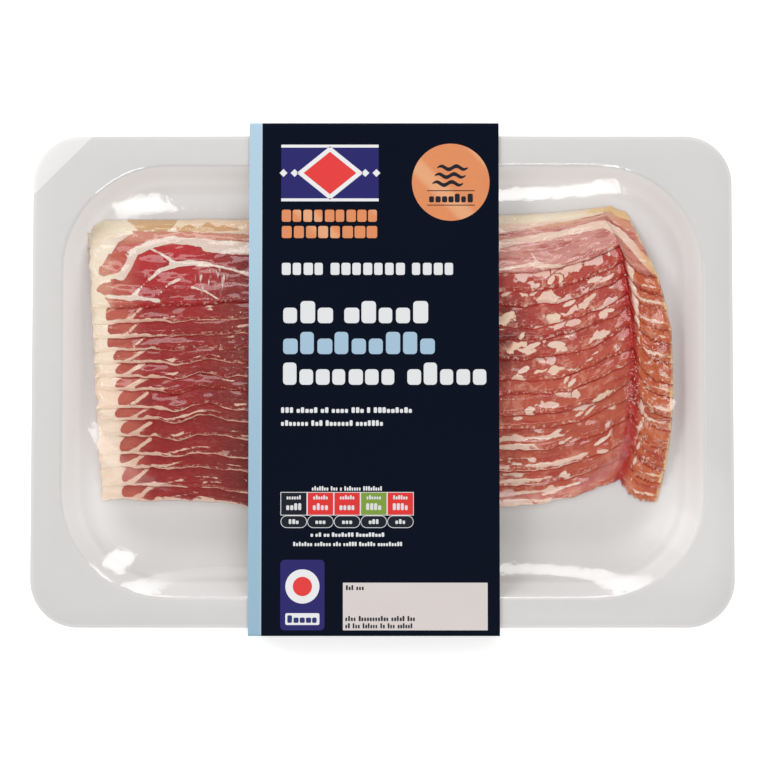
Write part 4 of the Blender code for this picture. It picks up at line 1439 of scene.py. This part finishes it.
class PACK_OT_print(bpy.types.Operator):
    """Fields of colour and plain shapes printed on the card"""

    bl_idname = "pack.print"
    bl_label = "Print"

    def execute(self, context):
        colours = context.scene.pack_colours
        self.emblem()
        self.foil(colours.foil)
        self.titles()
        self.table()
        self.badge()
        return {"FINISHED"}

    def emblem(self):
        """A blue panel with a red diamond, and the small panel with a disc at the lower left."""
        blue = PrintLayer("print_panel_blue", 0)
        blue.bar(12.1, 49.0, 164.0, 185.6, 0.15)
        blue.bar(12.1, 28.7, 2.2, 28.6, 1.6)
        blue.build(ink_material("blue ink", (0.014, 0.011, 0.150), 0.42))
        white = PrintLayer("print_panel_white", 1)
        middle, high = 30.55, 174.8
        for reach in (-1, 1):
            far = middle + reach * 17.6
            near = middle + reach * 13.4
            for x in (far, near):
                self.diamond(white, x, high, 1.5, 1.5)
        self.diamond(white, middle, high, 12.6, 10.2)
        white.bar(12.1, 49.0, 164.0, 165.1, 0.1)
        white.bar(12.1, 49.0, 184.5, 185.6, 0.1)
        white.disc(20.4, 18.6, 6.4)
        white.bar(14.0, 26.8, 4.2, 8.6, 0.6)
        white.build(ink_material("white ink", (0.80, 0.80, 0.82), 0.45))
        red = PrintLayer("print_panel_red", 2)
        self.diamond(red, middle, high, 10.0, 8.1)
        red.disc(20.4, 18.6, 3.6)
        red.build(ink_material("red ink", (0.76, 0.040, 0.038), 0.42))

    def diamond(self, layer, x, y, half_width, half_height):
        layer.polygon(((x + half_width, y), (x, y + half_height), (x - half_width, y), (x, y - half_height)))

    def foil(self, colour):
        """Two copper lines and the copper disc with three wavy stripes and a line of blocks."""
        foil = PrintLayer("print_foil", 0)
        word_blocks(foil, 12.1, 48.8, 156.2, 4.6, 5, 0.5, (9,), 1.0)
        word_blocks(foil, 12.1, 48.8, 150.0, 4.6, 6, 0.5, (8,), 1.0)
        foil.disc(76.3, 171.3, 14.7, 96)
        foil.build(foil_material(colour))
        dark = PrintLayer("print_foil_dark", 1)
        dark.bar(67.3, 85.4, 167.9, 168.2, 0.1)
        dark.bar(67.3, 85.4, 162.4, 162.7, 0.1)
        word_blocks(dark, 67.9, 84.9, 163.6, 3.3, 9, 0.4, (7,))
        for step in range(3):
            start = 69.4 + 0.9 * step
            self.wave(dark, start, start + 11.6, 170.8 + 3.0 * step, 0.75)
        dark.build(ink_material("dark ink", (0.010, 0.010, 0.020), 0.45))

    def wave(self, layer, x0, x1, y, half):
        """A wavy stripe, as a rasher seen on edge."""
        steps = 28
        upper, lower = [], []
        for step in range(steps + 1):
            x = x0 + (x1 - x0) * step / steps
            rise = 0.62 * math.sin(2 * math.pi * step / 14)
            thin = half * min(1.0, 0.35 + 3.0 * min(step, steps - step) / steps)
            upper.append((x, y + rise + thin))
            lower.append((x, y + rise - thin))
        layer.polygon(lower + upper[::-1])

    def titles(self):
        """The large and small lines of text, as blocks."""
        white = PrintLayer("print_title_white", 0)
        lines = (
            (12.1, 77.8, 136.0, 4.6, 21, 0.6, (4, 7, 4), 1.0),
            (12.6, 68.2, 117.7, 8.4, 22, 0.7, (3, 5)),
            (12.6, 90.4, 94.4, 8.4, 24, 0.7, (7, 5)),
            (12.1, 61.8, 83.8, 2.1, 25, 0.3, (3, 5, 2, 4, 3, 1, 9)),
            (12.1, 50.8, 78.9, 2.1, 26, 0.3, (7, 3, 7, 7)),
            (23.8, 50.4, 54.5, 1.7, 27, 0.22, (7, 3, 1, 7, 8)),
            (23.3, 51.2, 37.2, 1.6, 28, 0.22, (1, 2, 2, 7, 9)),
            (16.8, 58.0, 33.7, 1.6, 29, 0.22, (7, 6, 3, 5, 6, 9)))
        for line in lines:
            word_blocks(white, *line)
        white.build(ink_material("title ink", (0.74, 0.75, 0.77), 0.45))
        pale = PrintLayer("print_title_blue", 0)
        word_blocks(pale, 12.6, 70.8, 106.0, 8.4, 23, 0.7, (9,))
        pale.build(ink_material("pale blue ink", (0.36, 0.52, 0.66), 0.45))

    def table(self):
        """Five cells in a white grid, with rounded tabs hanging below them."""
        lines = PrintLayer("print_table_lines", 0)
        left, width, low, high = 12.1, 10.02, 45.2, 54.0
        lines.bar(left, left + 5 * width, low, high, 0.1)
        for cell in range(5):
            x = left + cell * width
            lines.bar(x + 0.05, x + width - 0.05, low - 4.7, low, 4.2, 8)
        lines.build(ink_material("line ink", (0.72, 0.72, 0.74), 0.45))
        tints = ("dark", "red", "red", "green", "red")
        shades = {"dark": (0.004, 0.008, 0.020), "red": (0.72, 0.026, 0.022), "green": (0.20, 0.33, 0.035)}
        for tint, shade in shades.items():
            layer = PrintLayer(f"print_table_{tint}", 1)
            for cell, wanted in enumerate(tints):
                x = left + cell * width
                if wanted == tint:
                    layer.bar(x + 0.25, x + width - 0.25, low + 0.25, high - 0.25, 0.1)
                if tint == "dark":
                    layer.bar(x + 0.3, x + width - 0.3, low - 4.45, low - 0.25, 3.9, 8)
            layer.build(ink_material(f"table {tint} ink", shade, 0.42))
        marks = PrintLayer("print_table_marks", 2)
        for cell in range(5):
            x = left + cell * width
            word_blocks(marks, x + 2.2, x + width - 2.2, low + 6.0, 1.6, 40 + cell, 0.2, (6,))
            word_blocks(marks, x + 2.0, x + width - 2.0, low + 2.0, 2.6, 50 + cell, 0.3, (4,))
            word_blocks(marks, x + 3.0, x + width - 3.0, low - 3.2, 1.8, 60 + cell, 0.25, (3,))
        marks.build(ink_material("mark ink", (0.70, 0.70, 0.72), 0.45))

    def badge(self):
        """The pale box for a date, and the marks on the small panel."""
        box = PrintLayer("print_date_box", 0)
        box.bar(35.6, 89.9, 2.2, 20.0, 0.15)
        box.build(ink_material("pale box ink", (0.68, 0.62, 0.61), 0.5))
        notes = PrintLayer("print_date_notes", 1)
        word_blocks(notes, 36.6, 43.6, 17.2, 1.9, 71, 0.25, (3, 3))
        word_blocks(notes, 36.4, 62.8, 5.6, 2.0, 72, 0.25, (4, 11, 5, 3))
        word_blocks(notes, 36.4, 61.8, 2.9, 2.0, 73, 0.25, (2, 3, 6, 2, 3, 6))
        notes.build(ink_material("note ink", (0.03, 0.03, 0.04), 0.5))
        strokes = PrintLayer("print_badge_marks", 2)
        word_blocks(strokes, 14.6, 26.2, 5.0, 2.8, 75, 0.35, (5,))
        strokes.build(ink_material("badge ink", (0.020, 0.026, 0.160), 0.45))


# Name, place, width and height in metres, power in watts
LAMPS = (
    ("key", (-0.95, 0.55, 1.30), 0.6, 0.6, 6.5),
    ("back", (-0.08, 1.15, 0.82), 0.8, 0.22, 3.2),
    ("back right", (0.44, 0.83, 1.04), 0.26, 0.26, 1.4),
    ("front", (0.16, -0.44, 1.22), 0.36, 0.26, 2.2),
)
FLOOR_SIZE = 8.0
FLOOR_Z = -0.0002
CAMERA_TILT = 3.5
CAMERA_DISTANCE = 0.966
CAMERA_LENS = 120.0
CAMERA_SENSOR = 36.0


class PACK_OT_stage(bpy.types.Operator):
    """Pale floor, soft studio lights and the camera above the pack"""

    bl_idname = "pack.stage"
    bl_label = "Stage"

    def execute(self, context):
        scene = context.scene
        clear_selection()
        bpy.ops.mesh.primitive_plane_add(size=FLOOR_SIZE, location=(0.0, 0.0, FLOOR_Z))
        floor = context.active_object
        bpy.ops.object.transform_apply(location=True, rotation=True, scale=True)
        floor.name = "floor"
        material, shader, tree = new_material(
            "studio floor", Roughness=0.9, Specular_IOR_Level=0.1, Emission_Color=(1.0, 1.0, 1.0),
            Emission_Strength=0.44)
        value = tree.noise(object_place(tree), 3.0, 2.0)
        tree.drive(shader, Base_Color=tree.mix(value, (0.90, 0.90, 0.90), (0.93, 0.93, 0.93)))
        floor.data.materials.append(material)
        for name, place, width, height, power in LAMPS:
            self.lamp(name, place, width, height, power)
        self.world(scene)
        data = bpy.data.cameras.new("camera")
        camera = bpy.data.objects.new("camera", data)
        context.collection.objects.link(camera)
        data.lens = CAMERA_LENS
        data.sensor_width = CAMERA_SENSOR
        target = Vector((0.57 * MM, -2.25 * MM, SLEEVE_TOP * 0.95))
        tilt = math.radians(CAMERA_TILT)
        away = (0.0, -math.sin(tilt) * CAMERA_DISTANCE, math.cos(tilt) * CAMERA_DISTANCE)
        camera.location = target + Vector(away)
        camera.rotation_euler = (tilt, 0.0, 0.0)
        scene.camera = camera
        scene.view_settings.view_transform = "Standard"
        return {"FINISHED"}

    def lamp(self, name, place, width, height, power):
        """A soft rectangular lamp that faces the pack."""
        data = bpy.data.lights.new(name, "AREA")
        data.shape = "RECTANGLE"
        data.size = width
        data.size_y = height
        data.energy = power
        lamp = bpy.data.objects.new(name, data)
        bpy.context.collection.objects.link(lamp)
        lamp.location = place
        lamp.rotation_euler = (-Vector(place)).to_track_quat("-Z", "Y").to_euler()

    def world(self, scene):
        """White behind the pack, soft light from all round, and little of it in reflections."""
        world = bpy.data.worlds.new("studio")
        world.use_nodes = True
        scene.world = world
        tree = Tree(world.node_tree)
        plain = world.node_tree.nodes["Background"]
        tree.drive(plain, Color=(1.0, 0.99, 0.98), Strength=0.62)
        seen = tree.add("ShaderNodeBackground", {"Color": WHITE, "Strength": 1.0})
        dim = tree.add("ShaderNodeBackground", {"Color": WHITE, "Strength": 0.12})
        path = tree.add("ShaderNodeLightPath")
        lit = tree.blend(path.outputs["Is Glossy Ray"], plain, dim)
        both = tree.blend(path.outputs["Is Camera Ray"], lit, seen)
        tree.feed(world.node_tree.nodes["World Output"].inputs["Surface"], both.outputs[0])


class PACK_PT_panel(bpy.types.Panel):
    bl_label = "Bacon pack"
    bl_idname = "PACK_PT_panel"
    bl_space_type = "VIEW_3D"
    bl_region_type = "UI"
    bl_category = "Bacon pack"

    def draw(self, context):
        layout = self.layout
        for group in (context.scene.pack_sizes, context.scene.pack_colours):
            box = layout.box()
            for name in group.__annotations__:
                box.prop(group, name)
        for operator in OPERATORS:
            layout.operator(operator.bl_idname)


OPERATORS = (PACK_OT_tray, PACK_OT_rashers, PACK_OT_film, PACK_OT_sleeve, PACK_OT_print, PACK_OT_stage)
CLASSES = (PackSizes, PackColours, *OPERATORS, PACK_PT_panel)


def register():
    for item in CLASSES:
        bpy.utils.register_class(item)
    bpy.types.Scene.pack_sizes = bpy.props.PointerProperty(type=PackSizes)
    bpy.types.Scene.pack_colours = bpy.props.PointerProperty(type=PackColours)


def unregister():
    del bpy.types.Scene.pack_colours
    del bpy.types.Scene.pack_sizes
    for item in reversed(CLASSES):
        bpy.utils.unregister_class(item)


def main():
    register()
    build_speckle_group()
    bpy.ops.pack.tray()
    bpy.ops.pack.rashers()
    bpy.ops.pack.film()
    bpy.ops.pack.sleeve()
    bpy.ops.pack.print()
    bpy.ops.pack.stage()


if __name__ == "__main__":
    main()
